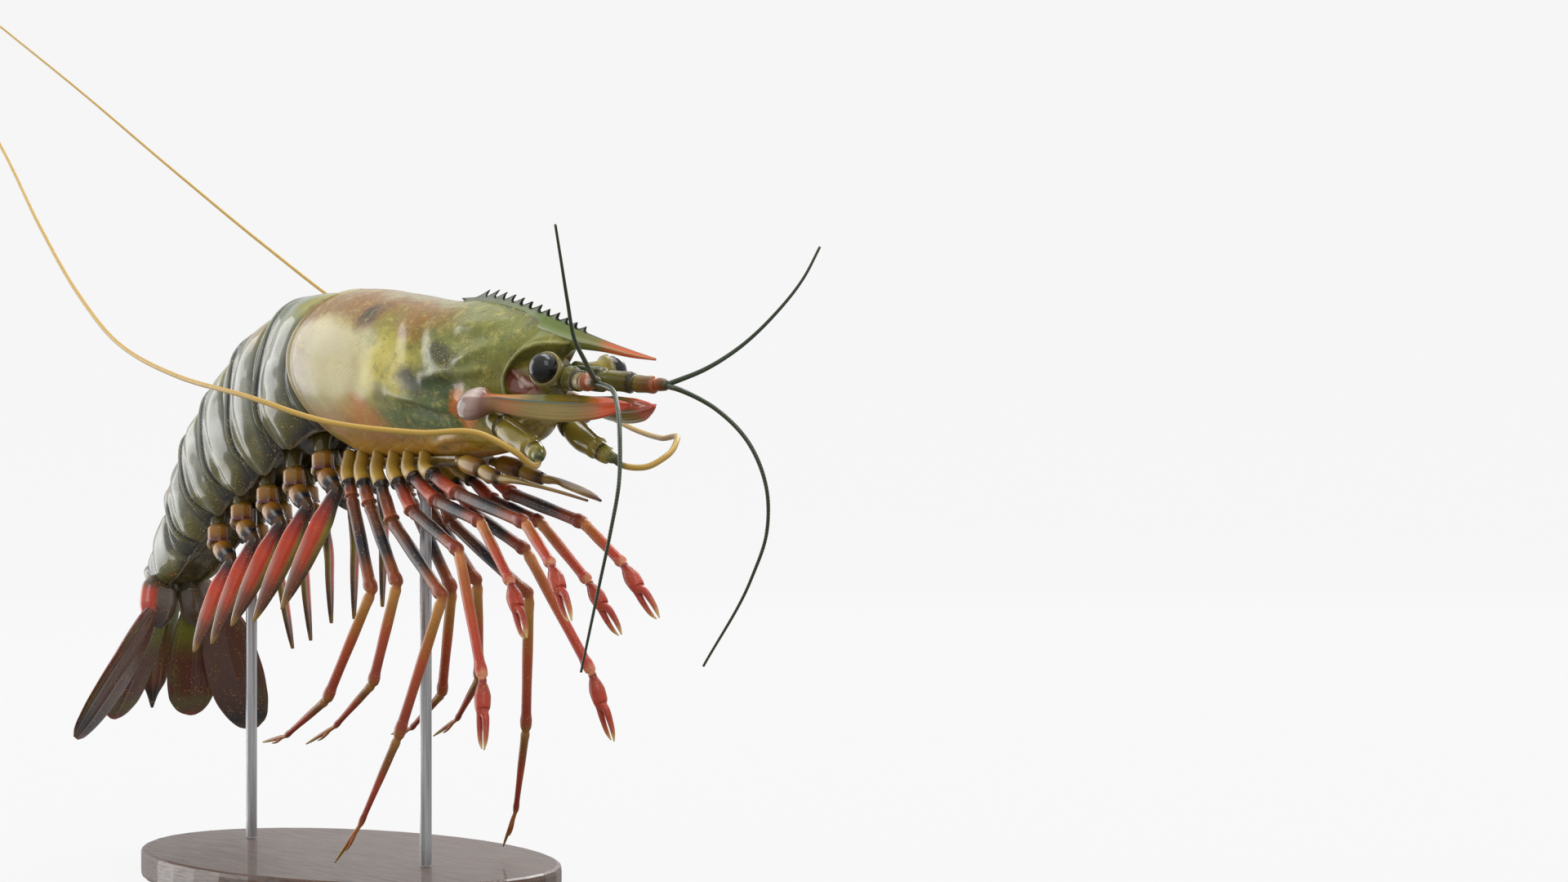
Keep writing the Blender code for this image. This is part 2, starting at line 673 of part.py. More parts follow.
def leg_direction(dip, splay, side):
    """Unit vector of a leg's joint: dip is below straight ahead, splay is outwards."""
    flat = math.cos(math.radians(splay))
    return Vector((math.cos(math.radians(dip)) * flat,
                   math.sin(math.radians(splay)) * side,
                   -math.sin(math.radians(dip)) * flat))


def leg_root(along, side):
    """Where a leg leaves the sloping side of the thorax, and the slope's outward normal."""
    run = THORAX_HALF_TOP - THORAX_HALF_BOTTOM
    rise = THORAX_TOP - THORAX_BOTTOM
    normal = Vector((0, rise * side, -run)).normalized()
    middle = Vector((along, (THORAX_HALF_TOP + THORAX_HALF_BOTTOM) / 2 * side,
                     (THORAX_TOP + THORAX_BOTTOM) / 2))
    return middle + normal * LEG_ROOT_GAP, normal


def leg_path(along, joints, side):
    """Stations down a leg: each joint swells at its ends and is pinched where it bends."""
    start, normal = leg_root(along, side)
    path = [start, start + normal]
    radii = [COXA_RADIUS * COXA_START, COXA_RADIUS]
    here = path[-1]
    corners = [here]
    for length, dip, splay in joints:
        ahead = leg_direction(dip, splay, side)
        finish = here + ahead * length
        radius = LEG_RADII[len(corners) - 1]
        following = LEG_RADII[min(len(corners), len(LEG_RADII) - 1)]
        if len(corners) > 1:
            path.append(here + ahead * min(JOINT_ROOT_LENGTH, length * JOINT_END_SHARE))
            radii.append(radius * JOINT_ROOT_SIZE)
        path.append(here + ahead * length * JOINT_MIDDLE)
        radii.append(radius)
        path.append(finish - ahead * min(JOINT_END_LENGTH, length * JOINT_END_SHARE))
        radii.append(max(radius * JOINT_END_SIZE, following) * JOINT_END_SWELL)
        here = finish
        corners.append(finish)
    return path, radii, corners


def make_leg(number, side, word, row, pincer, collection, body, paint):
    along, joints = row
    path, radii, corners = leg_path(along, joints, side)
    last_bend, tip = corners[-2:]
    reach = (tip - last_bend).length
    ahead = (tip - last_bend).normalized()
    across = Vector(LEG_ACROSS)
    spread = ahead.cross(across).normalized()
    if pincer:
        hinge = tip - ahead * reach * FINGER_SHARE
        middle = hinge.lerp(tip, 0.5)
        path, radii = path[:-3], radii[:-3]
        path += [last_bend + ahead * PALM_LENGTH, hinge - ahead * PALM_LENGTH, hinge,
                 middle + spread * FINGER_BOW, tip + spread * FINGER_TIP_SPREAD]
        radii += [*PALM_RADII, *FINGER_RADII]
        claw_line = [hinge - ahead * THUMB_ROOT, hinge, middle, tip - ahead * THUMB_SHORT]
        claw_path = [point - spread * away for point, away in zip(claw_line, THUMB_SPREADS)]
        claw_radii = THUMB_RADII
    else:
        path.append(tip)
        radii[-1:] = CLAW_RADII
        claw_path = [last_bend + ahead * reach * share + spread * away
                     for share, away in zip(SPUR_PLACES, SPUR_SPREADS)]
        claw_radii = SPUR_RADII
    name = f"leg_{number}_{word}"
    main = loft_mesh(name, limb_rings(path, [(r, r) for r in radii], across, LEG_SIDES))
    claw = loft_mesh("claw", limb_rings(claw_path, [(r, r) for r in claw_radii], across, THUMB_SIDES))
    join_closed(name, [main, claw], collection, paint, body)


def boundary_at(position):
    """The back point, lean, height and half width at a place counted in plates."""
    index = min(int(position), len(BOUNDARIES) - 2)
    share = position - index
    near, far = BOUNDARIES[index], BOUNDARIES[index + 1]
    return [a + (b - a) * share for a, b in zip(near, far)]


def abdomen_ring(position, shift, grow, lobe):
    """A ring of the abdomen, moved along its own axis by shift and made larger by grow."""
    along, up, lean, height, width = boundary_at(position)
    tilt = math.radians(lean)
    down_way = Vector((math.sin(tilt), 0, -math.cos(tilt)))
    back_way = Vector((-math.cos(tilt), 0, -math.sin(tilt)))
    size = height / PLATE_HEIGHT
    ring = []
    for step in range(ABDOMEN_SIDES):
        turn = 2 * math.pi * step / ABDOMEN_SIDES
        down = (1 - math.cos(turn)) / 2
        out = math.copysign(abs(math.sin(turn)) ** ABDOMEN_SQUARENESS, math.sin(turn))
        half = (width + grow) * (1 - ABDOMEN_NARROWING * down ** 3) * out
        flank = max(0.0, 1 - abs(down - LOBE_PLACE) / LOBE_REACH)
        depth = (height + grow) * down + lobe * flank * size
        belly = BELLY_RISE * size * max(0.0, (down - BELLY_PLACE) / (1 - BELLY_PLACE))
        ring.append(Vector((along, half, up)) + down_way * (depth - belly - grow * 0.5)
                    + back_way * shift)
    return ring


def first_plate_ring():
    """The front of the first plate, which follows the carapace's swept rear margin."""
    margin = shell_ring(*CARAPACE_STATIONS[0], ABDOMEN_SIDES)
    return scaled_ring(margin, FIRST_PLATE_SHARE, -FIRST_PLATE_SHIFT)


def make_abdomen(collection, body, paint):
    for number in range(1, len(BOUNDARIES)):
        rings = [abdomen_ring(number - 1 + place, *sizes) for place, *sizes in PLATE_RINGS]
        if number == 1:
            rings[:2] = [first_plate_ring()]
        name = f"abdomen_{number}"
        add_object(name, loft_mesh(name, rings), collection, paint, body)


def make_tail(collection, body, paint):
    telson = [(x, 0.0, z, width, thick) for x, z, width, thick in TELSON_STATIONS]
    mesh = limb_mesh("telson", telson, (0, 1, 0), TAIL_SIDES)
    add_object("telson", mesh, collection, paint, body)
    for side, word in SIDES:
        for name, stations, across in (("uropod_stem_", STEM_STATIONS, OUTER_ACROSS),
                                       ("uropod_outer_", OUTER_BLADE, OUTER_ACROSS),
                                       ("uropod_inner_", INNER_BLADE, INNER_ACROSS)):
            mesh = limb_mesh(name + word, stations, across, TAIL_SIDES, side)
            add_object(name + word, mesh, collection, paint, body)


def make_swimmeret(number, side, word, row, collection, body, paint):
    """A ringed root, a rounded stem and a long blade that hangs and trails outwards."""
    along, up, tip_up, tip_along = row
    root = Vector((along, SWIMMERET_OUT, up))
    knee = root + Vector(SWIMMERET_KNEE)
    tip = Vector((tip_along, SWIMMERET_TIP_OUT, tip_up))
    bulge = knee.lerp(tip, BULGE_SHARE) + Vector(SWIMMERET_BULGE)
    corners = (root, knee, bulge, tip)
    stations = []
    for stretch, share, width, thickness in SWIMMERET_FORM:
        place = corners[stretch].lerp(corners[stretch + 1], share)
        stations.append((place.x, place.y, place.z, width, thickness))
    name = f"swimmeret_{number}_{word}"
    mesh = limb_mesh(name, stations, SWIMMERET_ACROSS, SWIMMERET_SIDES, side)
    add_object(name, mesh, collection, paint, body)


def belly_point(position, grow):
    """The middle of the belly at a place counted in plates."""
    return abdomen_ring(position, 0, grow, 0)[ABDOMEN_SIDES // 2]


def rod_mesh(name, along, under, slope):
    """An upright rod from the base to a sloping face: under is its top and slope is rise over run."""
    foot = BASE_THICKNESS + GAP
    bpy.ops.mesh.primitive_cylinder_add(vertices=ROD_SIDES, radius=ROD_RADIUS * MM,
                                        depth=ROD_BLANK * MM, location=(0, 0, 0))
    maker = bpy.context.object
    mesh = maker.data
    mesh.name = name
    bpy.data.objects.remove(maker)
    shape = bmesh.new()
    shape.from_mesh(mesh)
    lift = Vector((along, 0, foot + ROD_BLANK / 2))
    bmesh.ops.translate(shape, vec=lift * MM, verts=shape.verts)
    top = Vector((along, 0, under)) * MM
    cut = bmesh.ops.bisect_plane(shape, geom=shape.verts[:] + shape.edges[:] + shape.faces[:],
                                 plane_co=top, plane_no=Vector((-slope, 0, 1)), clear_outer=True)
    rim = [item for item in cut["geom_cut"] if isinstance(item, bmesh.types.BMEdge)]
    bmesh.ops.holes_fill(shape, edges=rim)
    bmesh.ops.recalc_face_normals(shape, faces=shape.faces)
    shape.to_mesh(mesh)
    shape.free()
    mesh.shade_smooth()
    mesh.set_sharp_from_angle(angle=math.radians(SHARP_ANGLE))
    return mesh


def make_stand(collection, wood, steel):
    bpy.ops.mesh.primitive_cylinder_add(vertices=BASE_SIDES, radius=0.5, depth=1.0)
    base = bpy.context.object
    base.name = "stand_base"
    size = (BASE_LENGTH * MM, BASE_WIDTH * MM, BASE_THICKNESS * MM)
    base.data.transform(Matrix.Diagonal((*size, 1.0)))
    base.location = (0, 0, BASE_THICKNESS / 2 * MM)
    base.data.materials.append(wood)
    rounding = base.modifiers.new("edges", "BEVEL")
    rounding.width = BASE_EDGE * MM
    rounding.segments = 2
    for holder in list(base.users_collection):
        holder.objects.unlink(base)
    collection.objects.link(base)
    under = BODY_HEIGHT + THORAX_BOTTOM - GAP
    mesh = rod_mesh("stand_rod_front", FRONT_ROD_ALONG + BODY_AHEAD, under, 0.0)
    add_object("stand_rod_front", mesh, collection, steel)
    middle_ring, rear_ring = PLATE_RINGS[2:4]
    ahead = belly_point(REAR_ROD_PLATE - 1 + middle_ring[0], middle_ring[2])
    behind = belly_point(REAR_ROD_PLATE - 1 + rear_ring[0], rear_ring[2])
    slope = (ahead.z - behind.z) / (ahead.x - behind.x)
    middle = ahead.lerp(behind, REAR_ROD_SHARE)
    clear = GAP * math.sqrt(1 + slope ** 2)
    mesh = rod_mesh("stand_rod_rear", middle.x + BODY_AHEAD, BODY_HEIGHT + middle.z - clear, slope)
    add_object("stand_rod_rear", mesh, collection, steel)


def main():
    clear_scene()
    collection = new_collection("tiger prawn")
    body = bpy.data.objects.new("body", None)
    collection.objects.link(body)
    body.location = (BODY_AHEAD * MM, 0, BODY_HEIGHT * MM)
    bpy.context.view_layer.update()
    olive = material("olive shell", (0.20, 0.21, 0.07), 0.3)
    green = material("green shell", (0.10, 0.16, 0.08), 0.3)
    banded = material("banded plate", (0.20, 0.22, 0.16), 0.3)
    gold = material("golden joint", (0.42, 0.26, 0.06), 0.35)
    brown = material("brown leg", (0.18, 0.08, 0.04), 0.3)
    dark = material("dark blade", (0.10, 0.05, 0.03), 0.35)
    pale = material("pale whip", (0.60, 0.48, 0.22), 0.4)
    black = material("eye", (0.01, 0.01, 0.01), 0.05)
    wood = material("dark wood", (0.07, 0.04, 0.025), 0.4)
    steel = material("steel rod", (0.55, 0.55, 0.56), 0.3, 1.0)
    make_carapace(collection, body, olive)
    make_rostrum(collection, body, green)
    make_head(collection, body, olive)
    make_thorax(collection, body, gold)
    make_abdomen(collection, body, banded)
    make_tail(collection, body, dark)
    for side, word in SIDES:
        make_eye(side, word, collection, body, black, olive)
        make_antennule(side, word, collection, body, green)
        make_antenna(side, word, collection, body, olive, pale)
        make_maxilliped(side, word, collection, body, brown)
        for number, row in enumerate(PINCER_LEGS, start=1):
            make_leg(number, side, word, row, True, collection, body, brown)
        for number, row in enumerate(WALKING_LEGS, start=len(PINCER_LEGS) + 1):
            make_leg(number, side, word, row, False, collection, body, brown)
        for number, row in enumerate(SWIMMERETS, start=1):
            make_swimmeret(number, side, word, row, collection, body, gold)
    make_stand(collection, wood, steel)


main()
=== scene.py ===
# %% [markdown]
# This lesson dresses a life-size tiger prawn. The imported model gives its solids, each at its real
# place and size. Every cell below makes one part of the animal again with finer skin, relief and
# colour, in the same place. The prawn's own axes are X towards the head, Y to its left and Z up, in
# millimetres from a point inside the thorax, and one helper turns them into metres.

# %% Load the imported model
import math

import bpy
import numpy as np
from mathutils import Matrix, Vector


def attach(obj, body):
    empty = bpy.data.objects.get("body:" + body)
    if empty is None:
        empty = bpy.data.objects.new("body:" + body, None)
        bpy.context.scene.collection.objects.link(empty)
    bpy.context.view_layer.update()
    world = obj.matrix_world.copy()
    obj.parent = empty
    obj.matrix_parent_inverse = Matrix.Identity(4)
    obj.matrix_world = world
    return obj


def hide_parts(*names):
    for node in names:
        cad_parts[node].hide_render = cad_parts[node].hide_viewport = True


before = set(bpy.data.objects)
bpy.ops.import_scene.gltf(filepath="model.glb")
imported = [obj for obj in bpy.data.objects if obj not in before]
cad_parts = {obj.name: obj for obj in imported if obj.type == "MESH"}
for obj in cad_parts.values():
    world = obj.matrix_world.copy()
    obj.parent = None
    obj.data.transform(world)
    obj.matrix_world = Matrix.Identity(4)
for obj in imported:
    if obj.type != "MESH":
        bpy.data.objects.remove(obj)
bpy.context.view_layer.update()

# %% [markdown]
# The studio comes first. The photograph looks at the prawn from its right and well ahead of it,
# level with it, through a long lens. The eye height of the photograph lies below its middle, which
# a small upward shift of the lens gives without tilting the camera.

# %% Camera
BODY = np.array((10.0, 0.0, 108.0))
MM = 0.001
LENS, SENSOR, LENS_SHIFT = 64.9, 36.0, 0.046
NEAR, FAR = 0.02, 20.0
CAMERA_AT = (516.9, -332.6, 79.1)
CAMERA_TURN = 48.44


def added(name, data):
    """A new object that holds the data, in the scene."""
    holder = bpy.data.objects.new(name, data)
    bpy.context.scene.collection.objects.link(holder)
    return holder


camera = bpy.data.cameras.new("camera")
camera.lens, camera.sensor_width, camera.shift_y = LENS, SENSOR, LENS_SHIFT
camera.clip_start, camera.clip_end = NEAR, FAR
tripod = added("camera", camera)
tripod.location = [value * MM for value in CAMERA_AT]
tripod.rotation_euler = (math.radians(90), 0.0, math.radians(CAMERA_TURN))
bpy.context.scene.camera = tripod
print("camera", round(math.dist(CAMERA_AT, BODY)), "mm from the prawn, lens", LENS, "mm")

# %% [markdown]
# The photograph shows the prawn on an even pale ground with no horizon. A bowl does that: a round
# floor that curves up into a wall all the way round, so every view has the same ground. It glows by
# itself, which keeps it even, and it takes no part in the lighting, so that the shell's deep colours
# are not washed out by it. Large soft panels light the prawn from above, from both sides and from
# behind, and they show as the broad milky streaks on a wet shell.

# %% Floor and lights
BOWL_FLAT, BOWL_CURVE, BOWL_HIGH = 2.4, 1.4, 3.2
BOWL_SIDES, BOWL_STEPS = 96, 16
BOWL_GREY, BOWL_GLOW = 0.03, 0.895
SKY = (0.3, 0.62, 0.9)
PRAWN_MIDDLE = (0.0, 0.0, 0.11)
PANELS = (
    # name, place, width and height in metres, watts
    ("top_panel", (0.0, 0.6, 2.4), (2.4, 1.0), 30.0),
    ("left_panel", (-1.75, -0.95, 0.35), (1.4, 2.1), 23.0),
    ("right_panel", (1.9, -0.6, 1.6), (1.2, 1.6), 12.0),
    ("back_panel", (-0.9, 1.8, 1.3), (1.2, 0.6), 14.0),
)


def new_paint(name, **inputs):
    """A new material with values on its shader's inputs, then that shader and its node tree."""
    paint = bpy.data.materials.new(name)
    paint.use_nodes = True
    shader = paint.node_tree.nodes["Principled BSDF"]
    for words, value in inputs.items():
        shader.inputs[words.replace("_", " ")].default_value = value
    return paint, shader, paint.node_tree


def make_bowl():
    profile = [(BOWL_FLAT, 0.0)]
    for step in range(1, BOWL_STEPS + 1):
        turn = math.pi / 2 * step / BOWL_STEPS
        profile.append((BOWL_FLAT + BOWL_CURVE * math.sin(turn), BOWL_CURVE - BOWL_CURVE * math.cos(turn)))
    profile.append((BOWL_FLAT + BOWL_CURVE, BOWL_HIGH))
    points, faces = [(0.0, 0.0, 0.0)], []
    for away, up in profile:
        for side in range(BOWL_SIDES):
            turn = 2 * math.pi * side / BOWL_SIDES
            points.append((away * math.cos(turn), away * math.sin(turn), up))
    for side in range(BOWL_SIDES):
        after = (side + 1) % BOWL_SIDES
        faces.append((0, 1 + side, 1 + after))
        for row in range(len(profile) - 1):
            low, high = 1 + row * BOWL_SIDES, 1 + (row + 1) * BOWL_SIDES
            faces.append((low + side, high + side, high + after, low + after))
    mesh = bpy.data.meshes.new("studio_floor")
    mesh.from_pydata(points, [], faces)
    mesh.shade_smooth()
    floor = added("studio_floor", mesh)
    floor.visible_diffuse = floor.visible_glossy = floor.visible_shadow = False
    mesh.materials.append(new_paint("paper", Base_Color=(*(BOWL_GREY,) * 3, 1.0), Roughness=1.0,
                                    Specular_IOR_Level=0.0, Emission_Color=(1.0,) * 4,
                                    Emission_Strength=BOWL_GLOW)[0])


def make_panel(name, at, size, power):
    """A soft panel of light that faces the prawn."""
    light = bpy.data.lights.new(name, "AREA")
    light.shape = "RECTANGLE"
    light.size, light.size_y = size
    light.energy = power
    holder = added(name, light)
    holder.location = at
    holder.rotation_euler = (Vector(PRAWN_MIDDLE) - Vector(at)).to_track_quat("-Z", "Y").to_euler()


def make_world(below, level, above):
    """A sky of plain grey that is brightest overhead and dark underfoot."""
    world = bpy.data.worlds.new("studio")
    bpy.context.scene.world = world
    world.use_nodes = True
    tree = world.node_tree
    place, parts, height, shade = (tree.nodes.new("ShaderNode" + kind) for kind in (
        "TexCoord", "SeparateXYZ", "MapRange", "ValToRGB"))
    height.inputs[1].default_value = -1.0
    tree.links.new(place.outputs["Generated"], parts.inputs[0])
    tree.links.new(parts.outputs[2], height.inputs[0])
    tree.links.new(height.outputs[0], shade.inputs[0])
    tree.links.new(shade.outputs[0], tree.nodes["Background"].inputs[0])
    shade.color_ramp.elements.new(0.5)
    for element, spot, value in zip(shade.color_ramp.elements, (0.2, 0.5, 0.95), (below, level, above)):
        element.position = spot
        element.color = (value, value, value, 1.0)


make_bowl()
make_world(*SKY)
for panel in PANELS:
    make_panel(*panel)
bpy.context.scene.view_settings.view_transform = "Standard"
print("stage and", len(PANELS), "panels")

# %% [markdown]
# Nearly everything on a prawn is a tube: a shell plate, a leg's joint and a feeler are all rings
# strung along a path. So a few helpers do most of the work. One eases a few rows of named sizes
# into many, and never overshoots a width. One adds up bumps of relief, and one lays a skin over
# rings of points.

# %% Ease rows of sizes, and skin rings
def eased(rows, count, places=1):
    """Many rows on a smooth curve through a few. The first columns are the place along it."""
    rows = np.array(rows, float)
    step = np.linalg.norm(np.diff(rows[:, :places], axis=0), axis=1)
    knots = np.concatenate(([0.0], np.cumsum(step)))
    slope = np.diff(rows, axis=0) / step[:, None]
    lean = np.empty_like(rows)
    lean[0], lean[-1] = slope[0], slope[-1]
    for index in range(1, len(rows) - 1):
        before, after = slope[index - 1], slope[index]
        near, far = step[index - 1], step[index]
        lean[index] = (before * far + after * near) / (near + far)
        steady = before[places:] * after[places:] > 0
        total = np.where(steady, before[places:] + after[places:], 1.0)
        lean[index, places:] = np.where(steady, 2 * before[places:] * after[places:] / total, 0.0)
    spots = np.linspace(0.0, knots[-1], count)
    index = np.clip(np.searchsorted(knots, spots) - 1, 0, len(step) - 1)
    span = step[index][:, None]
    t = ((spots - knots[index]) / step[index])[:, None]
    return ((2 * t ** 3 - 3 * t ** 2 + 1) * rows[index] + (t ** 3 - 2 * t ** 2 + t) * span * lean[index]
            + (3 * t ** 2 - 2 * t ** 3) * rows[index + 1] + (t ** 3 - t ** 2) * span * lean[index + 1])


def even_turns(columns):
    return 2 * math.pi * np.arange(columns) / columns


def bells(value, rows):
    """The sum of smooth bumps. Each row gives a height, the place of the top and the reach."""
    return sum(height * np.exp(-((value - place) / reach) ** 2) for height, place, reach in rows)


def smooth(value, low, high):
    """0 below low, 1 above high, and a soft step between them."""
    share = np.clip((value - low) / (high - low), 0, 1)
    return share * share * (3 - 2 * share)


def raised(grid, height):
    """The grid of points pushed outwards, ring by ring, by a height for each point."""
    around = np.roll(grid, -1, axis=1) - np.roll(grid, 1, axis=1)
    normal = np.cross(around, np.gradient(grid, axis=0))
    normal /= np.linalg.norm(normal, axis=2, keepdims=True) + 1e-9
    if (normal * (grid - grid.mean(axis=1, keepdims=True))).sum() < 0:
        normal = -normal
    return grid + normal * np.asarray(height)[..., None]


def rims(ring, way, rows):
    """Copies of a ring, drawn in by a share and moved a way: the turned-in edge of a shell."""
    middle = ring.mean(axis=0)
    return [middle + (ring - middle) * (1 - draw) + np.multiply(way, shift) for draw, shift in rows]


def skin_mesh(name, grid, marks=None):
    """A closed mesh over rings (rows of points), with a fan on each end and named marks per point."""
    rows, columns = grid.shape[:2]
    points = np.concatenate((grid.reshape(-1, 3), [grid[0].mean(axis=0), grid[-1].mean(axis=0)]))
    first, last = rows * columns, rows * columns + 1
    faces = []
    for row in range(rows - 1):
        for column in range(columns):
            after = (column + 1) % columns
            faces.append((row * columns + column, row * columns + after,
                          (row + 1) * columns + after, (row + 1) * columns + column))
    for column in range(columns):
        after = (column + 1) % columns
        faces.append((column, first, after))
        faces.append(((rows - 1) * columns + after, last, (rows - 1) * columns + column))
    mesh = bpy.data.meshes.new(name)
    mesh.from_pydata((points + BODY) * MM, [], faces)
    for mark, values in (marks or {}).items():
        layer = mesh.attributes.new(mark, "FLOAT", "POINT")
        values = np.broadcast_to(values, (rows, columns))
        ends = [values[0].mean(), values[-1].mean()]
        layer.data.foreach_set("value", np.concatenate((values.reshape(-1), ends)).astype(np.float32))
    mesh.update()
    start = mesh.vertices[0].co
    if sum(face.area * face.normal.dot(face.center - start) for face in mesh.polygons) < 0:
        mesh.flip_normals()
    mesh.shade_smooth()
    return mesh


def tube_grid(path, sizes, across, columns):
    """Rings square to a path. sizes holds a radius, or half width and half thickness, for each."""
    path = np.asarray(path, float)
    ahead = np.gradient(path, axis=0)
    ahead /= np.linalg.norm(ahead, axis=1, keepdims=True)
    across = np.asarray(across, float)
    wide = across - (ahead @ across)[:, None] * ahead
    wide /= np.linalg.norm(wide, axis=1, keepdims=True)
    deep = np.cross(ahead, wide)
    turn = even_turns(columns)
    sizes = np.reshape(sizes, (len(path), -1))
    out, up = sizes[:, :1] * np.cos(turn), sizes[:, -1:] * np.sin(turn)
    return path[:, None] + wide[:, None] * out[..., None] + deep[:, None] * up[..., None]


print("helpers ready: eased, bells, raised, rims, skin_mesh, tube_grid")

# %% [markdown]
# A piece must take the place of the imported solid that it is made over and follow the model's
# one body. One helper does both, so neither is forgotten.

# %% Put a piece in place of its solids
SIDES = ((1, "left"), (-1, "right"))
made = []


def dress(name, mesh, paint, slot, *nodes):
    piece = added(name, mesh)
    mesh.materials.append(paint)
    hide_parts(*nodes)
    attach(piece, "root")
    made.append(piece)


def mirrored(side, along, out, up, *sizes):
    """A station given for the left side, on either side."""
    return (along, out * side, up, *sizes)


# %% [markdown]
# A prawn's shell is clear and glossy over a layer of pigment cells, so its colour lies in soft
# patches under a hard shine, with gold specks. In a shader that is a clear coat over a mottled
# colour. The patches are ellipses in the prawn's side view, with ragged edges from noise. Working
# in the body's own millimetres keeps every patch where it belongs on the animal.

# %% Shader helpers
RAGGED = 6.0
BASE_GLOSS = 0.25


def tint(red, green, blue):
    """A colour as read from a screen, 0 to 255, turned into the linear light of a shader."""
    values = [channel / 255 for channel in (red, green, blue)]
    return (*[v / 12.92 if v <= 0.04045 else ((v + 0.055) / 1.055) ** 2.4 for v in values], 1.0)


def put(tree, kind, wires=(), **settings):
    """A new shader node. wires holds an input and the value or the socket that feeds it."""
    node = tree.nodes.new("ShaderNode" + kind)
    for setting, value in settings.items():
        setattr(node, setting, value)
    for socket, value in wires:
        if isinstance(value, bpy.types.NodeSocket):
            tree.links.new(value, node.inputs[socket])
        else:
            node.inputs[socket].default_value = value
    return node


def math_node(tree, operation, first, second=0.0):
    return put(tree, "Math", ((0, first), (1, second)), operation=operation).outputs[0]


def vector_node(tree, operation, *values):
    return put(tree, "VectorMath", tuple(enumerate(values)), operation=operation).outputs[0]


def noise(tree, spot, scale, detail=3.0, rough=0.6):
    return put(tree, "TexNoise", (("Vector", spot), ("Scale", scale), ("Detail", detail),
                                  ("Roughness", rough))).outputs


def mark(tree, name):
    return put(tree, "Attribute", attribute_name=name).outputs["Fac"]


def ramped(tree, value, low, high, bottom=0.0, top=1.0):
    """A value turned smoothly from the range low to high into the range bottom to top."""
    return put(tree, "MapRange", ((0, value), (1, low), (2, high), (3, bottom), (4, top)),
               interpolation_type="SMOOTHSTEP").outputs[0]


def near(tree, value, place, far, close, top=1.0):
    """The top where a value lies within close of a place, down to nothing where it is far."""
    away = math_node(tree, "ABSOLUTE", math_node(tree, "SUBTRACT", value, place))
    return ramped(tree, away, far, close, 0.0, top)


def stirred(tree, value, spot, scale, size):
    """A value made uneven by noise."""
    stir = math_node(tree, "SUBTRACT", noise(tree, spot, scale)["Fac"], 0.5)
    return math_node(tree, "ADD", value, math_node(tree, "MULTIPLY", stir, size))


def mixed(tree, share, first, second):
    return put(tree, "Mix", ((0, share), (6, first), (7, second)), data_type="RGBA").outputs[2]


def laid(tree, colour, shade, share, *others):
    """A shade laid over the colour, as strongly as the product of the shares."""
    for other in others:
        share = math_node(tree, "MULTIPLY", share, other)
    return mixed(tree, share, colour, tint(*shade))


def bands(tree, value, stops):
    """A colour ramp: stops holds a place from 0 to 1 and a colour."""
    node = put(tree, "ValToRGB", ((0, value),))
    ramp = node.color_ramp
    while len(ramp.elements) < len(stops):
        ramp.elements.new(0.5)
    for element, (place, *shade) in zip(ramp.elements, stops):
        element.position = place
    for element, (place, *shade) in zip(ramp.elements, stops):
        element.color = tint(*shade)
    return node.outputs[0]


def cloudy(tree, spot, scale, first, second, detail=3.0):
    """Two colours in soft clouds."""
    return bands(tree, noise(tree, spot, scale, detail)["Fac"], ((0.3, *first), (0.7, *second)))


def patch(tree, colour, spot, along, up, long, high, turn, edge, shade, share=1.0):
    """An ellipse of another colour in the side view: its middle, half sizes, tilt and soft edge."""
    local = put(tree, "Mapping", (("Vector", spot), ("Location", (along, 0.0, up)),
                                  ("Rotation", (0.0, math.radians(turn), 0.0)),
                                  ("Scale", (long, 1e5, high))), vector_type="TEXTURE").outputs[0]
    away = put(tree, "VectorMath", ((0, local),), operation="LENGTH").outputs["Value"]
    return laid(tree, colour, shade, ramped(tree, away, 1 + edge, 1 - edge, 0.0, share))


def specked(tree, colour, spot, shade, share=0.5, size=2.2):
    """Fine specks of pigment, crowded in some places and scarce in others."""
    cells = put(tree, "TexVoronoi", (("Vector", spot), ("Scale", size))).outputs["Distance"]
    crowd = ramped(tree, noise(tree, spot, 0.35, 2.0)["Fac"], 0.42, 0.62, 0.0, share)
    return laid(tree, colour, shade, ramped(tree, cells, 0.34, 0.16), crowd)


def body_spot(tree):
    """Where a surface point lies on the prawn in mm, both sides alike, and the same torn by noise."""
    seen = put(tree, "TexCoord").outputs["Object"]
    place = vector_node(tree, "MULTIPLY_ADD", seen, (1 / MM,) * 3, tuple(-BODY))
    along, out, up = put(tree, "SeparateXYZ", ((0, place),)).outputs
    even = put(tree, "CombineXYZ", ((0, along), (1, math_node(tree, "ABSOLUTE", out)), (2, up))).outputs[0]
    stir = noise(tree, place, 0.2)["Color"]
    shift = vector_node(tree, "MULTIPLY_ADD", stir, (RAGGED,) * 3, (-RAGGED / 2,) * 3)
    return even, vector_node(tree, "ADD", even, shift)


def bumped(tree, height, distance, strength=1.0, under=None):
    wires = (("Strength", strength), ("Distance", distance), ("Height", height))
    return put(tree, "Bump", wires + ((("Normal", under),) if under else ())).outputs[0]


def wire(tree, shader, **sockets):
    """Joins sockets to the shader's inputs, named with _ for a space."""
    for words, socket in sockets.items():
        tree.links.new(socket, shader.inputs[words.replace("_", " ")])


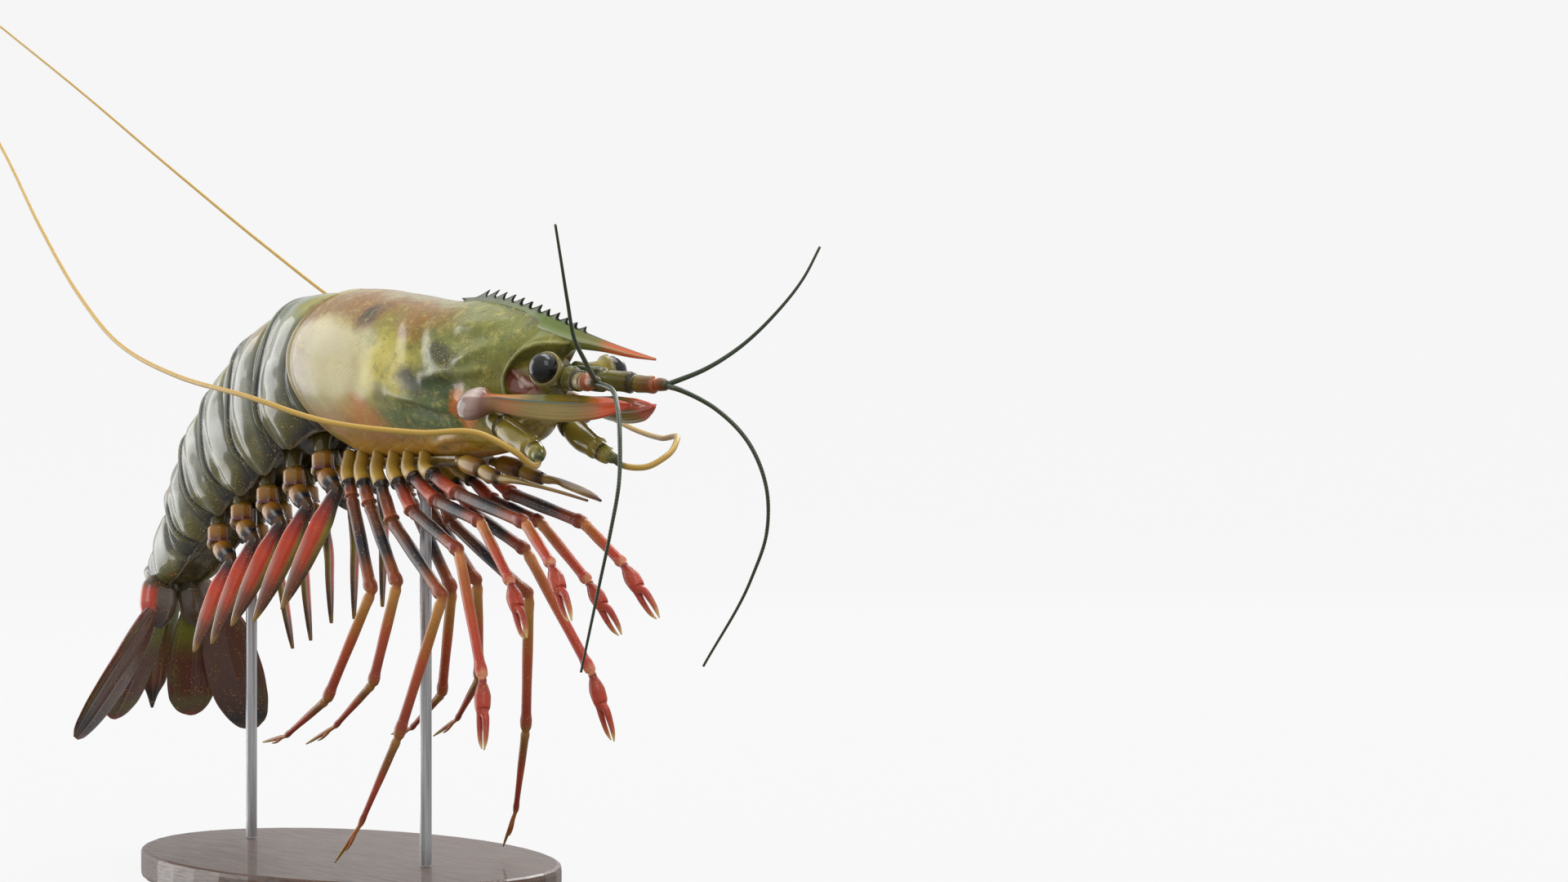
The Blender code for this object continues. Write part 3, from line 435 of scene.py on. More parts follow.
def finish(name, colour_of, rough=(0.3, 0.42), coat=0.8, dents=0.3, dent_size=0.16, grain=0.014, shine=0.1):
    """A glossy shell finish. colour_of(tree, spot, torn) gives its colour, and dents are in mm."""
    paint, shader, tree = new_paint(name, Specular_IOR_Level=BASE_GLOSS, Coat_Weight=coat,
                                    Coat_Roughness=shine)
    spot, torn = body_spot(tree)
    dull = ramped(tree, noise(tree, spot, 0.6, 2.0)["Fac"], 0.3, 0.7, *rough)
    broad = bumped(tree, noise(tree, spot, dent_size, 0.0)["Fac"], dents * MM)
    fine = bumped(tree, noise(tree, spot, 3.0, 2.0)["Fac"], grain * MM, under=broad)
    wire(tree, shader, Base_Color=colour_of(tree, spot, torn), Roughness=dull, Normal=fine,
         Coat_Normal=broad)
    return paint


print("shader helpers ready")

# %% [markdown]
# The carapace is the one-piece shell over head and thorax. Its cross-section is a rounded arch
# that narrows towards the belly. Ridges and grooves show where muscles hold it: they are added
# as soft lines of relief along points in the side view. At the front the shell's edge is drawn
# forward as a brow over each eye and runs into the beak. Its margins curl in, so that the shell
# reads as a thin plate and not as a block.

# %% Carapace shape
CARAPACE_STATIONS = (
    # along, half width, top, bottom, how far the back and the belly lie ahead of the flanks
    (-9.5, 16.4, 18.6, -14.6, 7.5, 6), (-4, 17, 18.6, -16.2, 5, 4), (4, 17.2, 18.2, -17.8, 2.5, 2),
    (13, 16.9, 17.2, -18, 0, 0), (22, 16.3, 15.8, -18.1, 0, 0), (31, 15.2, 14, -18, 0, 0),
    (39, 13.9, 12, -17.6, 1, 1), (45, 12.8, 10, -16.8, 3, 3), (49.5, 11.6, 7.4, -15.8, 7, 5),
    (53.2, 9.7, 6.5, -14.4, 6.9, 3.2), (56.2, 7.5, 5.2, -12.4, 7, 1.8),
)
CARAPACE_RELIEF = (
    # height, reach, points along and up in the side view
    (0.55, 1, (38, -1.9), (42, -1.3), (46, -1.1), (50, -1.4), (54, -0.8)),
    (0.45, 1.1, (46.5, 0.2), (50, 2.2), (53, 3.4)),
    (0.5, 1, (27, -4.6), (31, -5.6), (35, -6.2), (39, -7.6), (43.5, -8.2)),
    (-0.7, 1.8, (41, -3.4), (45, -3.6), (48.5, -5)), (-0.6, 2.2, (40, 9), (44, 6), (48, 5.2), (52, 6)),
    (0.5, 1.6, (42.5, 8.6), (47, 8), (51, 7.8), (55, 8)), (-0.55, 2, (34, 9), (36, 4), (39, 0.6)),
    (0.35, 1.2, (38, 3.4), (41, 1.6), (44.5, 0.2)), (-0.4, 1.2, (31, -7.4), (36, -8.4), (41, -10)),
    (0.5, 0.8, (33, -15.2), (38, -14), (43, -13.6), (49, -14.4)),
    (-0.45, 1.6, (44.5, -5), (45.5, -9), (46, -12.5)), (-0.3, 1.8, (22, 12.6), (27, 9), (31, 3.6)),
    (-0.15, 2.4, (18, 7), (19, 0), (15, -5.6)),
)
RELIEF_GAIN = 1.7
CARAPACE_ROWS, CARAPACE_COLUMNS = 190, 200
CARAPACE_RUN = 67.0
MIDDLE_PLAIN = 4.0
LIP_TOP, LIP_FADE = 12.0, 6.0
REAR_LIP = ((0.22, 0.7, 0.6), (-0.18, 2.2, 0.7))
FRONT_LIP = ((0.16, 0.4, 0.4), (-0.2, 1.6, 0.9))
REAR_RIMS = ((0.12, 2.2), (0.06, 0.9), (0.02, 0.0))
FRONT_RIMS = ((0.02, 0.15), (0.06, -0.1), (0.14, -2.0))
AHEAD = (1.0, 0.0, 0.0)
CREST_ALONG = (24.0, 31.0, 36.0, 40.0, 48.0, 56.0, 63.0)
CREST_RISE = (0.0, 0.4, 1.2, 2.1, 2.9, 3.4, 3.2)
CREST_REACH = 3.4
BROW_REACH = (
    # turn from the back in degrees, how far the front edge is drawn forward, outward and up there
    (0, 8.8, 0, -3.8), (10, 8.2, -0.1, -3.4), (20, 6.6, -0.1, -2.2), (30, 4.9, 0, -0.9),
    (40, 3.6, 0.3, -0.1), (50, 2.6, 0.5, 0.2), (60, 1.6, 0.4, 0), (70, 0.8, 0.2, 0), (84, 0.4, 0, 0),
    (180, 0.3, 0, 0),
)
BROW_ROWS, BROW_SWELL = 26, 0.7
BROW_LIP = ((0.32, 0.35, 0.45), (-0.22, 1.7, 0.8))


def line_relief(along, up, lines):
    """Height of soft ridges (positive) and grooves (negative) at points in the side view."""
    total = np.zeros_like(along)
    for height, reach, *points in lines:
        nearest = np.full_like(along, 1e9)
        fade = np.zeros_like(along)
        for index, (start, end) in enumerate(zip(points[:-1], points[1:])):
            run = np.subtract(end, start)
            share = ((along - start[0]) * run[0] + (up - start[1]) * run[1]) / (run @ run)
            share = np.clip(share, 0.0, 1.0)
            away = np.hypot(along - start[0] - share * run[0], up - start[1] - share * run[1])
            place = (index + share) / (len(points) - 1)
            closer = away < nearest
            nearest = np.where(closer, away, nearest)
            fade = np.where(closer, np.sin(math.pi * np.clip(0.12 + 0.76 * place, 0, 1)), fade)
        total += height * fade * np.exp(-(nearest / reach) ** 2)
    return total


def arch_rings(stations, turn, squareness=0.82, tuck=0.42):
    """Rings of the carapace's section at rows of stations, with a point at each turn round it."""
    along, width, top, bottom, back_ahead, belly_ahead = (stations[:, i, None] for i in range(6))
    down = (1 - np.cos(turn)) / 2
    out = np.sign(np.sin(turn)) * np.abs(np.sin(turn)) ** squareness
    narrow = 1 - tuck * down ** 2.5
    ahead = np.where(down < 0.5, back_ahead, belly_ahead) * np.cos(turn) ** 2
    return np.stack((along + ahead, width * narrow * out, top - (top - bottom) * down ** 0.95), axis=2)


def brow_drawn(turn):
    """How far each point of the carapace's front edge is drawn forward over the eye."""
    fine = eased(BROW_REACH, 200)
    away = np.degrees(np.minimum(turn, 2 * math.pi - turn))
    forward, outward, up = (np.interp(away, fine[:, 0], fine[:, i]) for i in (1, 2, 3))
    return np.stack((forward, outward * np.sign(np.sin(turn)), up), axis=1)


def carapace_mesh():
    turn = even_turns(CARAPACE_COLUMNS)
    grid = arch_rings(eased(CARAPACE_STATIONS, CARAPACE_ROWS), turn)
    drawn = brow_drawn(turn)
    reach = np.linalg.norm(drawn, axis=1)
    rear = np.linspace(0.0, CARAPACE_RUN, len(grid))[:, None]
    height = RELIEF_GAIN * line_relief(grid[..., 0], grid[..., 2], CARAPACE_RELIEF)
    height *= np.clip(np.abs(grid[..., 1]) / MIDDLE_PLAIN, 0, 1)
    edge = np.clip((LIP_TOP - grid[..., 2]) / LIP_FADE, 0, 1) * np.clip(1 - reach / 2.0, 0, 1)
    grid = raised(grid, height + bells(rear, REAR_LIP) + edge * bells(CARAPACE_RUN - rear, FRONT_LIP))
    crest = np.interp(grid[..., 0], CREST_ALONG, CREST_RISE)
    crest *= np.exp(-(np.abs(grid[..., 1]) / CREST_REACH) ** 1.5)
    grid[..., 2] += crest * (grid[..., 2] > 0)
    share = np.linspace(0.0, 1.0, BROW_ROWS + 1)[1:, None]
    brow = grid[-1] + share[..., None] * drawn
    brow[..., 2] += BROW_SWELL * np.sin(math.pi * share) * np.clip(reach / 4.0, 0, 1)
    brow = raised(brow, bells((1 - share) * reach, BROW_LIP) * np.clip(reach / 2.0, 0, 1))
    grid = np.concatenate((rims(grid[0], AHEAD, REAR_RIMS), grid, brow, rims(brow[-1], AHEAD, FRONT_RIMS)))
    rear = np.concatenate((rear + 0 * reach, CARAPACE_RUN + share * reach))
    rear = np.concatenate((rear[:1],) * len(REAR_RIMS) + (rear,) + (rear[-1:],) * len(FRONT_RIMS))
    return skin_mesh("carapace_shell", grid, {"rear": rear, "front": CARAPACE_RUN + reach - rear})


print("carapace relief lines:", len(CARAPACE_RELIEF))

# %% [markdown]
# The colours of the carapace follow the photograph: a tan oval over the gills, rust along the
# upper flank with a dark spot, olive green in front, orange and blue-green below, and a golden
# lower margin. A pale strip along the top is a painted highlight, and a dark band under the beak's
# teeth is a painted shadow. Two fine noises mottle it, a dark one in the front half and a pale one
# all over.

# %% Carapace finish and piece
CARAPACE_PATCHES = (
    # along, up, half length, half height, tilt, edge, colour, share
    (48, 8, 21, 10, 0, 0.5, (110, 116, 42), 0.9), (42, -5, 12, 7, 0, 0.6, (98, 106, 54), 0.8),
    (22, 13, 17, 4.4, 10, 0.5, (132, 82, 10), 0.92), (30, 9.5, 6, 3.6, 20, 0.5, (138, 98, 24), 0.75),
    (23, 8, 3.6, 4.6, 0, 0.6, (136, 132, 50), 0.7), (26, -1, 9.5, 7, 0, 0.5, (206, 190, 84), 0.92),
    (6, 13.8, 14, 4, 0, 0.5, (130, 84, 14), 0.88), (3.5, 0.6, 15, 11.6, -8, 0.08, (190, 176, 122), 0.72),
    (2, 6, 11, 5, -20, 0.7, (186, 176, 136), 0.4), (9, -2, 7, 5, 0, 0.7, (190, 172, 84), 0.5),
    (-5, 3, 5, 10, 0, 0.6, (160, 142, 124), 0.6), (17.6, 12, 2.1, 2, 15, 0.65, (44, 38, 22), 0.92),
    (42.6, 2.6, 4.6, 1.9, 25, 0.55, (42, 44, 20), 0.9), (34.4, -2.4, 4.6, 2.8, 12, 0.5, (44, 46, 22), 0.92),
    (24, -4.6, 3, 1.6, 0, 0.6, (70, 66, 30), 0.6), (34, -9.4, 14, 4.4, 3, 0.6, (70, 98, 56), 0.8),
    (43, -4.4, 6, 2.2, 8, 0.5, (52, 76, 40), 0.75), (15, -9.4, 6.4, 4.2, 10, 0.6, (206, 128, 48), 0.85),
    (3, -10.4, 9, 3.4, 10, 0.6, (176, 118, 60), 0.7), (46.8, -9.2, 2.4, 5, 0, 0.5, (222, 120, 44), 0.92),
    (24, -16, 42, 2.8, 0, 0.4, (186, 130, 38), 0.9), (20, -13.6, 9, 1.8, 0, 0.5, (142, 92, 50), 0.6),
    # the pale strip at up 15.6 on the next line is a painted highlight along the top, and the dark band at
    # up 12.6 after it is a painted shadow under the beak's teeth
    (52, -14, 8, 3, 0, 0.5, (160, 140, 50), 0.8), (30, 15.6, 26, 1.5, 8, 0.6, (150, 156, 112), 0.5),
    (52, 12.6, 14, 1.4, 22, 0.6, (50, 60, 34), 0.6),
)


def carapace_colour(tree, spot, torn):
    along = put(tree, "SeparateXYZ", ((0, spot),)).outputs[0]
    colour = bands(tree, noise(tree, spot, 0.14)["Fac"],
                   ((0.3, 122, 112, 40), (0.5, 150, 138, 52), (0.7, 122, 126, 52)))
    for row in CARAPACE_PATCHES:
        colour = patch(tree, colour, torn, *row)
    dark = ramped(tree, noise(tree, spot, 0.42, 4.0, 0.7)["Fac"], 0.5, 0.66, 0.0, 0.45)
    colour = laid(tree, colour, (66, 70, 26), dark, ramped(tree, along, 14.0, 26.0))
    pale = ramped(tree, noise(tree, spot, 0.5, 4.0, 0.7)["Color"], 0.5, 0.64, 0.0, 0.4)
    colour = laid(tree, colour, (200, 184, 96), pale)
    colour = laid(tree, colour, (126, 104, 74), ramped(tree, mark(tree, "rear"), 1.1, 0.3, 0.0, 0.7))
    colour = laid(tree, colour, (104, 108, 50), ramped(tree, mark(tree, "front"), 0.9, 0.2, 0.0, 0.5))
    colour = specked(tree, colour, spot, (66, 56, 26), 0.35, 1.5)
    return specked(tree, colour, spot, (222, 196, 104), 0.55, 2.6)


carapace_paint = finish("carapace_finish", carapace_colour, rough=(0.38, 0.5), coat=0.7, dents=0.5,
                        dent_size=0.1, shine=0.18)
dress("carapace_shell", carapace_mesh(), carapace_paint, "olive_shell", "carapace")
print("carapace", len(made[-1].data.polygons), "faces,", len(CARAPACE_PATCHES), "patches")

# %% [markdown]
# The rostrum is the saw-edged beak that grows from the carapace's crest. It is a thin blade with
# a rib along each side. Its teeth lean forwards: a slow rise behind and a sharp drop in front.
# Here the blade's upper edge follows that saw line, so teeth and blade are one clean skin.

# %% Rostrum
ROSTRUM_STATIONS = (
    # along, lower edge, upper edge, half thickness
    (33, 13.9, 14.9, 0.5), (40, 12.4, 14.7, 0.9), (47, 10.7, 13.7, 1.3), (53, 8.9, 12.2, 1.6),
    (56.3, 7.2, 11.3, 1.9), (58.6, 5.4, 10.6, 1.9), (63, 4.3, 9.3, 1.9), (70, 2.9, 6.9, 1.7),
    (78, 1.9, 4.4, 1.1), (87, 0.4, 1.9, 0.6), (94, -0.4, 0.1, 0.25),
)
ROSTRUM_STOPS = (
    # place from root to tip, and the colour there
    (0, 70, 82, 34), (0.3, 100, 116, 42), (0.6, 92, 110, 40), (0.84, 110, 106, 46), (0.91, 190, 96, 48),
    (1, 206, 96, 48),
)
TOOTH_COUNT, TOOTH_FIRST, TOOTH_PITCH = 12, 37.4, 2.95
TOOTH_RISE, TOOTH_BACK, TOOTH_LEAN = 1.5, 0.88, 2.2
EDGE, SHOULDER = 0.012, 0.05


def rostrum_mesh():
    rows = eased(ROSTRUM_STATIONS, 320)
    along, low, high, thick = (rows[:, i, None] for i in range(4))
    place = (along - TOOTH_FIRST) / TOOTH_PITCH
    share = place - np.floor(place)
    toothed = (place > 0) & (place < TOOTH_COUNT)
    rise = np.where(share < TOOTH_BACK, (share / TOOTH_BACK) ** 2.2, (1 - share) / (1 - TOOTH_BACK))
    saw = np.where(toothed, TOOTH_RISE * rise * (1 - 0.03 * place), 0.0)
    turn = even_turns(32)
    down, round_out = (1 - np.cos(turn)) / 2, np.abs(np.sin(turn))
    free = smooth(along, 54.0, 61.0)
    rib = bells(down, ((1.0, 0.5, 0.1),))
    lens = round_out ** 0.9 * (0.4 + 0.6 * np.clip(down * 1.8, 0, 1)) + 0.25 * rib
    flare = round_out ** 0.5 * (0.3 + 1.2 * down ** 2)
    out = np.sign(np.sin(turn)) * thick * (flare * (1 - free) + lens * free)
    crest = saw * ((down < EDGE) + 0.3 * ((down >= EDGE) & (down < SHOULDER)))
    up = high - (high - low + 1.2 * (1 - free)) * down + crest
    ahead = along + 1.5 + TOOTH_LEAN * (saw - 0.7) * (down < EDGE)
    grid = np.stack((ahead, out, up), axis=2)
    return skin_mesh("rostrum_blade", grid, {"ridge": rib * free, "saw": (down < 0.04) * 1.0 + 0 * out})


def rostrum_colour(tree, spot, torn):
    along = put(tree, "SeparateXYZ", ((0, spot),)).outputs[0]
    colour = bands(tree, ramped(tree, along, 33.0, 94.0), ROSTRUM_STOPS)
    colour = laid(tree, colour, (150, 160, 112), mark(tree, "ridge"), 0.55)
    return laid(tree, colour, (30, 34, 20), mark(tree, "saw"), 0.85)


rostrum_paint = finish("rostrum_finish", rostrum_colour, coat=0.4, dents=0.1, shine=0.2)
dress("rostrum_blade", rostrum_mesh(), rostrum_paint, "green_shell", "rostrum")
print("rostrum with", TOOTH_COUNT, "teeth")

# %% [markdown]
# Ahead of the carapace lies the head proper, mostly hidden, with a glossy reddish hollow that
# holds the eye. The mouthparts close it from below.

# %% Head and mouthparts
HEAD_STATIONS = (
    (50.6, 7.6, 4.6, -12, 2, 2), (53.6, 7.2, 4.2, -10.6, 1, 1), (56, 6.7, 3.6, -8.8, 0, 0),
    (60.5, 5.4, 2.6, -8.2, 0, 0), (66, 3.4, 1.6, -6.4, 0, 0),
)
HEAD_RELIEF = (
    (0.7, 1, (52, 3.4), (56, 3.6), (60, 2.4), (64, 1)), (-0.9, 1.6, (55, -1.4), (59, -2.8), (63, -4.4)),
    (0.6, 0.8, (54, -4.6), (58, -5.4), (63, -6.2)), (0.5, 0.6, (57.5, -0.6), (60, -3.2), (62.5, -5)),
)
MOUTH_STATIONS = (
    (56.6, 4.6, -9.1, -15.2, 0, 0), (59, 4.2, -9, -14.6, 0, 0), (62.5, 2.4, -8.9, -12, 0, 0),
)
HEAD_PATCHES = (
    (59.5, -3.4, 4.6, 2.6, 25, 0.3, (128, 66, 54), 0.95),
    # the next two rows are painted highlights: pale streaks along the ridges in the glossy hollow
    (60.2, -2.6, 2.4, 0.7, 35, 0.5, (220, 190, 180), 0.8),
    (62.0, -5.6, 1.8, 0.5, 10, 0.5, (200, 160, 150), 0.6),
    (56.0, 2.6, 4.0, 1.6, 10, 0.5, (96, 60, 40), 0.7),
)


def relieved_mesh(name, stations, lines, rows, columns):
    grid = arch_rings(eased(stations, rows), even_turns(columns))
    return skin_mesh(name, raised(grid, line_relief(grid[..., 0], grid[..., 2], lines)))


def head_colour(tree, spot, torn):
    colour = cloudy(tree, spot, 0.4, (104, 98, 40), (136, 124, 52))
    for row in HEAD_PATCHES:
        colour = patch(tree, colour, torn, *row)
    return colour


def mouth_colour(tree, spot, torn):
    return cloudy(tree, spot, 0.6, (120, 104, 44), (170, 148, 70))


head_paint = finish("head_finish", head_colour, rough=(0.2, 0.3), coat=1.0, dents=0.3)
dress("head_front", relieved_mesh("head_front", HEAD_STATIONS, HEAD_RELIEF, 70, 90), head_paint,
      "olive_shell", "head")
dress("mouth_front", relieved_mesh("mouth_front", MOUTH_STATIONS, (), 24, 40),
      finish("mouth_finish", mouth_colour), "olive_shell", "mouthparts")
print("head and mouthparts made")

# %% [markdown]
# Each eye is a black ball in a soft olive cup on a short stalk. The ball is a turned form of many
# fine rings, smooth enough to mirror the soft panels, and the cup has a rounded rim.

# %% Eyes
EYE_CENTRE = (71.8, 8.2, -1.2)
EYE_RADIUS = 3.0
EYE_AXIS = (0.34, 0.905, 0.25)
STALK_ROOT, STALK_RADIUS = (65.0, 4.6, -0.9), 1.9
NECK_BACK, NECK_RADIUS = 3.2, 2.2
EYE_CUP = ((2.2, 2.9), (0.9, 3.5), (0.25, 3.5), (0.05, 3.25))
UPRIGHT = (0.0, 0.0, 1.0)
STALK_STOPS = (
    (0, 70, 78, 36), (0.45, 110, 108, 46), (0.75, 166, 150, 66), (0.95, 120, 106, 44),
)


def ball_grid(centre, axis, radius, rows, columns):
    turn = np.linspace(0.02, math.pi - 0.02, rows)
    path = np.asarray(centre) + np.outer(-np.cos(turn) * radius, axis)
    return tube_grid(path, np.sin(turn) * radius, UPRIGHT, columns)


def round_skin(name, stations, rows, columns, **marks):
    """A round skin over stations of along, out, up and radius, marked with the share along it."""
    path = eased(stations, rows, 3)
    share = np.linspace(0.0, 1.0, rows)[:, None]
    return skin_mesh(name, tube_grid(path[:, :3], path[:, 3], UPRIGHT, columns), {"along": share, **marks})


def eye_colour(tree, spot, torn):
    return cloudy(tree, spot, 0.8, (10, 10, 11), (22, 22, 24), 2.0)


def stalk_colour(tree, spot, torn):
    return bands(tree, mark(tree, "along"), STALK_STOPS)


eye_paint = finish("eye_finish", eye_colour, rough=(0.05, 0.1), coat=0.45, dents=0.0, grain=0.0, shine=0.01)
stalk_paint = finish("stalk_finish", stalk_colour, dents=0.12)
for side, word in SIDES:
    centre, root, axis = (np.array(mirrored(side, *point)) for point in (EYE_CENTRE, STALK_ROOT, EYE_AXIS))
    neck = root * 0.4 + (centre - axis * NECK_BACK) * 0.6
    cup = [(*root, STALK_RADIUS), (*neck, NECK_RADIUS)]
    cup += [(*(centre - axis * back), radius) for back, radius in EYE_CUP]
    dress("eye_ball_" + word, skin_mesh("eye_ball", ball_grid(centre, axis, EYE_RADIUS, 40, 56)),
          eye_paint, "black_eye", "eye_" + word)
    dress("eye_cup_" + word, round_skin("eye_cup", cup, 60, 48), stalk_paint, "olive_shell",
          "eyestalk_" + word)
print("eyes", EYE_RADIUS * 2, "mm across")

# %% [markdown]
# The antennules are the short feelers: a stem of three joints and two ringed whips. The antennae
# are the long ones, each on a stout stem. A feeler is hundreds of tiny rings, so its radius
# swells and shrinks a little all the way along, which catches the light as the real one does.

# %% Feelers
ANTENNULE_STEM = (
    # along, out, up, radius
    (65.5, 2.4, -2.2, 1.9), (67.4, 2.6, -2.3, 2.3), (70.5, 2.9, -2.6, 2.35), (73.2, 3.4, -2.9, 2.5),
    (74.8, 3.9, -3.1, 2.45), (75.5, 4.1, -3.2, 1.8), (76.2, 4.4, -3.3, 2.1), (78.4, 5.4, -3.5, 2),
    (80.4, 6.4, -3.8, 2.15), (80.9, 6.6, -3.9, 1.5), (81.6, 6.9, -4, 1.75), (83.6, 7.5, -4.2, 1.65),
    (85.2, 8, -4.3, 1.75), (85.7, 8.1, -4.3, 1.1), (86.6, 8.2, -4.3, 1.3), (88.2, 8.4, -4.4, 1.15),
    (88.8, 8.5, -4.4, 0.6),
)
UPPER_WHIP = (
    (88.2, 8.4, -4.5), (93.2, 14.6, -1.2), (96.5, 19.7, 2.7), (101.1, 24.8, 9.1), (104.7, 29, 16.1),
    (106.5, 31.6, 22.1),
)
LOWER_WHIP = (
    (88.2, 8.4, -4.6), (92.6, 8.6, -5.6), (99, 11.8, -9.2), (104.2, 15.3, -15.4), (106.8, 17.6, -23.8),
    (105.8, 18.7, -32.3), (101.9, 18.1, -41.5), (91.9, 14.7, -58.2),
)
ANTENNA_STEM = (
    (55.6, 8.6, -10.2, 1.8), (57, 8.6, -10.9, 2.3), (58.6, 8.4, -11.8, 2.5), (59.2, 8.4, -12.1, 2.1),
    (60, 8.3, -12.6, 2.45), (63, 8.1, -14.2, 2.65), (66, 8.1, -15.5, 2.4), (67.3, 8.1, -16.1, 2.35),
    (67.9, 8.1, -16.4, 1.75), (68.6, 8.2, -16.8, 1.95), (70.2, 8.6, -17.6, 1.8), (70.7, 8.8, -17.8, 1.3),
    (71.3, 9, -18.2, 1.2), (71.8, 9.2, -18.6, 0.8),
)
LONG_WHIP = (
    (71.2, 9, -18.2), (71.9, 9.6, -19), (75.3, 13.7, -19.9), (76.6, 18.4, -17.5), (73.4, 23.4, -14.3),
    (61, 29.6, -13.7), (43.3, 37.2, -11.6), (20.3, 42.2, -6), (-6.9, 42.4, -1), (-34, 40.4, 6.4),
    (-62.8, 35.2, 19), (-92.4, 29.4, 36.4), (-124, 22.6, 56.8), (-160, 16.4, 79.6), (-198, 11, 102),
)
# radius at the root and at the tip, and the swell of the rings
SHORT_SIZES, LONG_SIZES = (0.55, 0.25, 0.02), (0.65, 0.28, 0.003)
WHIP_ACROSS = (0.1, 0.2, 1.0)
ANTENNULE_STOPS = (
    (0, 70, 76, 32), (0.24, 46, 66, 34), (0.33, 96, 92, 44), (0.36, 36, 38, 20), (0.42, 110, 106, 42),
    (0.6, 96, 84, 34), (0.64, 36, 34, 18), (0.7, 120, 104, 42), (0.82, 110, 74, 36), (0.88, 160, 84, 40),
    (1, 60, 60, 30),
)
ANTENNA_STOPS = (
    (0, 104, 92, 32), (0.16, 140, 122, 42), (0.19, 44, 40, 18), (0.25, 152, 134, 48), (0.6, 132, 116, 40),
    (0.78, 154, 136, 54), (0.81, 46, 42, 18), (0.87, 160, 144, 62), (0.95, 112, 112, 50), (1, 70, 76, 34),
)


def whip_skin(name, points, side, rows, thick, thin, swell, **marks):
    path = eased([mirrored(side, *point) for point in points], rows, 3)
    share = np.linspace(0.0, 1.0, rows)
    radius = (thick + (thin - thick) * share ** 0.7) * (1 + swell * np.where(np.arange(rows) % 2, 1, -1))
    return skin_mesh(name, tube_grid(path, radius, WHIP_ACROSS, 10), {"along": share[:, None], **marks})


def merged(name, meshes):
    """Several skins as one mesh, with their marks kept."""
    holders = [added("part", mesh) for mesh in meshes]
    with bpy.context.temp_override(active_object=holders[0], object=holders[0],
                                   selected_objects=holders, selected_editable_objects=holders):
        bpy.ops.object.join()
    mesh = holders[0].data
    bpy.data.objects.remove(holders[0])
    mesh.name = name
    return mesh


def ringed(tree, along, count, first, second):
    """Two shades by turns along a whip."""
    rings = math_node(tree, "SINE", math_node(tree, "MULTIPLY", along, count))
    return mixed(tree, ramped(tree, rings, -1.0, 1.0), tint(*first), tint(*second))


def antennule_colour(tree, spot, torn):
    along = mark(tree, "along")
    whip = ringed(tree, along, 700.0, (34, 44, 28), (62, 74, 46))
    return mixed(tree, mark(tree, "whip"), bands(tree, along, ANTENNULE_STOPS), whip)


def antenna_colour(tree, spot, torn):
    return specked(tree, bands(tree, mark(tree, "along"), ANTENNA_STOPS), spot, (80, 58, 22), 0.5, 1.4)


def long_whip_colour(tree, spot, torn):
    along = mark(tree, "along")
    pale = ringed(tree, along, 2600.0, (190, 152, 66), (194, 158, 72))
    return laid(tree, pale, (70, 76, 40), ramped(tree, along, 0.012, 0.004))


antennule_paint = finish("antennule_finish", antennule_colour, rough=(0.3, 0.45), coat=0.5, dents=0.05)
antenna_paint = finish("antenna_finish", antenna_colour, dents=0.12)
long_whip_paint = finish("long_whip_finish", long_whip_colour, rough=(0.35, 0.5), coat=0.3, dents=0.0,
                         grain=0.0)
for side, word in SIDES:
    short_stem, long_stem = ([mirrored(side, *row) for row in rows]
                             for rows in (ANTENNULE_STEM, ANTENNA_STEM))
    skins = [round_skin("stem", short_stem, 120, 28, whip=0.0)]
    for points, rows in ((UPPER_WHIP, 150), (LOWER_WHIP, 280)):
        skins.append(whip_skin("whip", points, side, rows, *SHORT_SIZES, whip=1.0))
    dress("antennule_feeler_" + word, merged("antennule_feeler", skins), antennule_paint,
          "green_shell", "antennule_" + word)
    dress("antenna_base_" + word, round_skin("antenna_base", long_stem, 110, 28), antenna_paint,
          "olive_shell", "antenna_stem_" + word)
    dress("antenna_feeler_" + word, whip_skin("antenna_feeler", LONG_WHIP, side, 900, *LONG_SIZES),
          long_whip_paint, "pale_whip", "antenna_whip_" + word)
print("feelers made, the long ones in 900 rings each")

# %% [markdown]
# The antennal scales are a pair of stiff pointed plates that close the front of the head. Each
# has a strong rib on its outer face and turns orange-red at its point. Their roots are rounded
# glossy bosses.

# %% Antennal scales
SCALE_STATIONS = (
    # along, out, up, half width, half thickness
    (51.9, 13.5, -7.4, 2, 1), (53.2, 13.1, -7.5, 3.3, 1.5), (55.2, 12.6, -7.6, 3.8, 1.7),
    (57.4, 12, -7.7, 3.2, 1.6), (58.8, 11.6, -7.6, 2.2, 1.5), (60.6, 11.1, -7.6, 1.9, 1.4),
    (64, 10.3, -7.9, 2.2, 1.1), (68, 9.2, -8.3, 2.7, 1), (76, 7.2, -8.9, 3.1, 0.9), (84, 5, -9.1, 2.6, 0.8),
    (89, 3.6, -8.9, 1.4, 0.6), (91.8, 2.8, -8.8, 0.3, 0.3),
)
SCALE_ACROSS = (0.0, -0.55, 0.83)
# at 0.09 in both tables the boss at the root is pale grey, paler on the upper face: partly its own colour
# and partly a painted highlight
SCALE_UPPER = (
    (0, 140, 110, 98), (0.09, 206, 190, 182), (0.145, 120, 66, 48), (0.22, 190, 104, 40),
    (0.32, 170, 120, 44), (0.45, 112, 108, 36), (0.74, 140, 112, 40), (0.84, 206, 84, 36), (1, 190, 56, 30),
)
SCALE_LOWER = (
    (0, 96, 66, 58), (0.09, 150, 124, 114), (0.15, 104, 60, 46), (0.2, 120, 84, 36), (0.3, 150, 92, 36),
    (0.45, 128, 108, 36), (0.7, 134, 112, 40), (0.8, 160, 100, 42), (0.87, 206, 80, 38), (1, 186, 56, 32),
)


